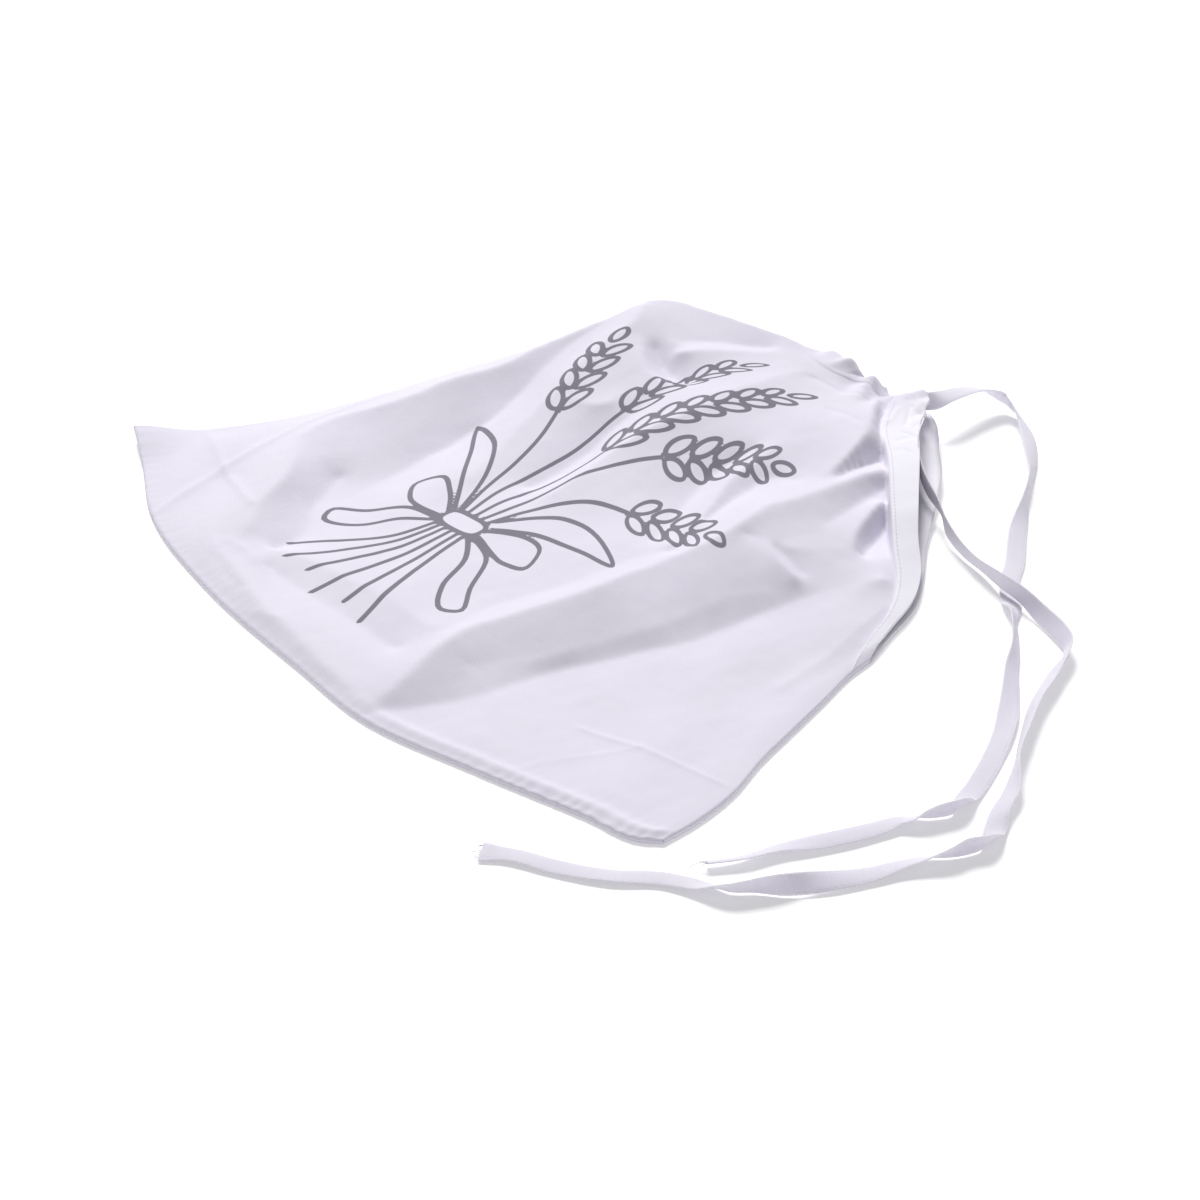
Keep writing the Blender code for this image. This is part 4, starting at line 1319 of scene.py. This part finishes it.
@dataclass
class FlatTie:
    """One loose end of the tie: a folded cotton tape, carried along its route and turned about it."""

    name: str
    route: tuple
    length: float
    node: str
    end_width: float
    end_run: float
    threads: tuple[tuple[float, float, float, float], ...]
    width: float = 9.0 * MM
    thickness: float = 1.0 * MM
    flatness: tuple[float, float] = (0.55, 0.75)  # the section's powers p and q
    rings: int = 480
    section: int = 16
    clearance: float = 0.4 * MM
    seam_place: float = 3.4  # millimetres from the middle to each row of stitches
    end_rings: int = 8  # how many rings from its end the tape's last heading is read
    thread_overlap: float = 1.5 * MM
    thread_width: float = 0.45 * MM
    thread_rings: int = 14
    thread_sides: int = 6

    def frame_along(self) -> tuple[np.ndarray, np.ndarray, np.ndarray]:
        """Middle line, and the tape's wide and thick directions at each ring.

        Returns:
            Three rows of vectors, one for each ring.
        """
        table = np.stack([table_column(self.route, TIE_COLUMNS, name) for name in TIE_COLUMNS], axis=1)
        line = smooth_curve(table * (MM, MM, MM, 1.0), np.linspace(0, 1, self.rings))
        middle, turn = line[:, :3], np.radians(line[:, 3])
        along = np.gradient(middle, axis=0)
        along /= np.linalg.norm(along, axis=1, keepdims=True)
        level = np.cross(np.array((0.0, 0.0, 1.0)), along)
        level /= np.linalg.norm(level, axis=1, keepdims=True)
        over = np.cross(along, level)
        wide = np.cos(turn)[:, None] * level + np.sin(turn)[:, None] * over
        return middle, wide, np.cross(along, wide)

    def build(self, material: bpy.types.Material) -> list[bpy.types.Object]:
        """The tape and its end's threads: a flat section carried along the route.

        At t round the section, a point is a |cos t|^p wide and b |sin t|^q thick, with the signs of the
        cosine and the sine.

        Args:
            material: its finish.

        Returns:
            The new objects.
        """
        middle, wide, thick = self.frame_along()
        steps = np.concatenate(([0.0], np.cumsum(np.linalg.norm(np.diff(middle, axis=0), axis=1))))
        turn = np.linspace(0, 2 * np.pi, self.section, endpoint=False)
        spread = 1 + (self.end_width - 1) * (1 - smooth_step((steps[-1] - steps) / self.end_run))
        x = rounded(np.cos(turn), self.flatness[0]) * self.width / 2 * spread[:, None]
        y = rounded(np.sin(turn), self.flatness[1]) * self.thickness / 2
        points = middle[:, None] + wide[:, None] * x[..., None] + thick[:, None] * y[:, None]
        lift = np.maximum(self.clearance - points[..., 2].min(axis=1), 0.0)
        points[..., 2] += lift[:, None]
        middle = middle + np.stack((0 * lift, 0 * lift, lift), -1) - MIDDLE
        points = points - MIDDLE
        first = np.arange(self.section)
        after = np.roll(first, -1)
        last, tips = first + (self.rings - 1) * self.section, self.rings * self.section + np.arange(2)
        caps = [np.stack((np.full(self.section, tips[0]), after, first), -1),
                np.stack((np.full(self.section, tips[1]), last, np.roll(last, -1)), -1)]
        triangles = np.concatenate((tube_faces(self.rings, self.section), *caps))
        everything = np.concatenate((points.reshape(-1, 3), middle[[0, -1]]))
        tape = add_mesh(self.name, everything, triangles, material)
        uv = np.stack((x, np.broadcast_to(steps[:, None], x.shape)), -1).reshape(-1, 2)
        uv = np.concatenate((uv, np.array(((0.0, 0.0), (0.0, steps[-1])))))
        set_uv(tape, uv)
        set_attribute(tape, "seam_distance", np.abs(uv[:, 0]) / MM - self.seam_place)
        set_attribute(tape, "seam_along", uv[:, 1] / MM)
        ends = self.fray(middle[-1], middle[-1] - middle[-self.end_rings], wide[-1], material)
        for piece in (tape, ends):
            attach(piece, "root")
        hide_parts(self.node)
        return [tape, ends]

    def fray(self, tip: np.ndarray, ahead: np.ndarray, wide: np.ndarray,
             material: bpy.types.Material) -> bpy.types.Object:
        """Threads at the cut end: each a thin round tube along root + l (t ahead + t^2 bend aside).

        Args:
            tip: middle of the cut end.
            ahead: direction in which the tape ends.
            wide: the tape's wide direction there.
            material: its finish.

        Returns:
            The new object.
        """
        ahead = ahead * (1, 1, 0)
        ahead /= np.linalg.norm(ahead)
        aside = np.array((-ahead[1], ahead[0], 0.0))
        along = np.linspace(0, 1, self.thread_rings)[:, None]
        turn = np.linspace(0, 2 * np.pi, self.thread_sides, endpoint=False)
        ring = np.stack((np.cos(turn), np.sin(turn)), -1) * self.thread_width / 2
        fan = np.arange(1, self.thread_sides - 1)
        end = (self.thread_rings - 1) * self.thread_sides
        body = np.concatenate((tube_faces(self.thread_rings, self.thread_sides),
                               np.stack((0 * fan, fan + 1, fan), -1),
                               np.stack((0 * fan, fan, fan + 1), -1) + end))
        points, faces = [], []
        for place, length, bend, rise in self.threads:
            root = tip - ahead * self.thread_overlap + wide * place * MM
            line = root + length * MM * (ahead * along + aside * bend * along ** 2)
            line[:, 2] = np.maximum(line[:, 2] + rise * MM * along[:, 0], self.thread_width)
            tube = line[:, None] + aside * ring[:, :1] + np.array((0, 0, 1.0)) * ring[:, 1:]
            faces.append(body + sum(len(part) for part in points))
            points.append(tube.reshape(-1, 3))
        return add_mesh(f"{self.name}_threads", np.concatenate(points), np.concatenate(faces), material)


@dataclass
class Studio:
    """Table, lights and camera."""

    elevation: float = 33.0
    distance: float = 1.22
    lens: float = 84.0
    sensor: float = 36.0
    bag_turn: float = 51.900547  # degrees from the photo's right to the bag's bottom edge
    corner: tuple[float, float] = (-0.22406609, 0.14035067)  # the bag's left one, right and away of the aim
    bag_middle: tuple[float, float] = (0.200, 0.130)  # from that corner, along the bag's own axes
    table_half: float = 3.0
    table_colour: tuple[float, float, float] = (0.93, 0.93, 0.93)
    table_glow: float = 0.22
    table_roughness: float = 0.9
    table_specular: float = 0.1
    key_place: tuple[float, float, float] = (-0.60, 3.56, 4.4)  # right, away and up from the aim
    key_size: float = 2.0
    key_power: float = 300.0
    fill_place: tuple[float, float, float] = (0.9, -0.8, 1.1)
    fill_size: float = 1.2
    fill_power: float = 0.8
    sky_colour: tuple[float, float, float] = (0.97, 0.97, 1.0)
    sky_strength: float = 0.37

    def directions(self) -> tuple[Vector, Vector, Vector]:
        """The point aimed at on the table, and the level directions right and away in the photo's frame.

        Returns:
            The point and the two directions.
        """
        turn = np.radians(self.bag_turn)
        right = np.array((np.cos(turn), np.sin(turn)))
        away = np.array((-right[1], right[0]))
        target = -self.corner[0] * right - self.corner[1] * away - self.bag_middle - MIDDLE[:2]
        return Vector((*target, 0)), Vector((*right, 0)), Vector((*away, 0))

    def aim(self) -> None:
        """The camera, at the photo's angle and distance."""
        target, right, away = self.directions()
        angle = np.radians(self.elevation)
        forward = away * float(np.cos(angle)) - Vector((0, 0, float(np.sin(angle))))
        camera = bpy.data.cameras.new("camera")
        camera.sensor_width = self.sensor
        camera.lens = self.lens
        holder = bpy.data.objects.new("camera", camera)
        turned = Matrix((right, right.cross(forward), -forward)).transposed().to_4x4()
        turned.translation = target - forward * self.distance
        holder.matrix_world = turned
        bpy.context.scene.collection.objects.link(holder)
        bpy.context.scene.camera = holder

    def table(self) -> None:
        """A wide pale table top."""
        half = self.table_half
        corners = np.array(((-half, -half, 0), (half, -half, 0), (half, half, 0), (-half, half, 0)))
        material, surface = new_material("table")
        set_inputs(surface, {
            "Base Color": (*self.table_colour, 1), "Emission Color": (1.0, 1.0, 1.0, 1),
            "Emission Strength": self.table_glow, "Roughness": self.table_roughness,
            "Specular IOR Level": self.table_specular})
        add_mesh("table_top", corners, np.array(((0, 1, 2, 3),)), material)

    def lamp(self, name: str, place: tuple[float, float, float], size: float, power: float) -> None:
        """One square soft lamp, aimed at the bag's middle.

        Args:
            name: its name.
            place: how far right, away and up it stands from the point aimed at.
            size: length of its sides.
            power: in watts.
        """
        target, right, away = self.directions()
        offset = right * place[0] + away * place[1] + Vector((0, 0, place[2]))
        light = bpy.data.lights.new(name, "AREA")
        light.size = size
        light.energy = power
        holder = bpy.data.objects.new(name, light)
        holder.location = target + offset
        holder.rotation_euler = (-offset).to_track_quat("-Z", "Y").to_euler()
        bpy.context.scene.collection.objects.link(holder)

    def light(self) -> None:
        """A soft key from behind, a weak fill from the near right, and an even sky."""
        self.lamp("key", self.key_place, self.key_size, self.key_power)
        self.lamp("fill", self.fill_place, self.fill_size, self.fill_power)
        world = bpy.data.worlds.new("sky")
        world.use_nodes = True
        set_inputs(world.node_tree.nodes["Background"],
                   {"Color": (*self.sky_colour, 1), "Strength": self.sky_strength})
        bpy.context.scene.world = world
        bpy.context.scene.view_settings.view_transform = "Standard"


def main() -> None:
    """Builds the bag, its ties and the studio, and reports each piece."""
    logging.basicConfig(level=logging.INFO, format="%(name)s: %(message)s")
    studio = Studio()
    studio.aim()
    tape = Cotton("tie cotton", weave_pitch=0.7 * MM, glow=0.7, glow_reach=2.6 * MM,
                  colour=(0.715, 0.69, 0.765), tint=(0.68, 0.65, 0.74))
    pieces = FlatTie(name="tie_upper_tape", route=TIE_UPPER, length=0.493, node="tie_upper", end_width=0.5,
                     end_run=42 * MM, threads=KNOTTED).build(tape.make())
    pieces += FlatTie(name="tie_lower_tape", route=TIE_LOWER, length=0.527, node="tie_lower", end_width=1.3,
                      end_run=9 * MM, threads=FRAYED).build(tape.make())
    front_grid = Grid(edge_cells=6, edge_width=2.4 * MM, columns=277, body_rows=231, hem_rows=26)
    back_grid = Grid(edge_cells=4, edge_width=2.4 * MM, columns=121, body_rows=101, hem_rows=12)
    pieces += ClothBag(BagForm(), front_grid, back_grid, SheafPrint()).build()
    studio.table()
    studio.light()
    for piece in pieces:
        LOG.info("%s: %d faces", piece.name, len(piece.data.polygons))


if __name__ == "__main__":
    main()
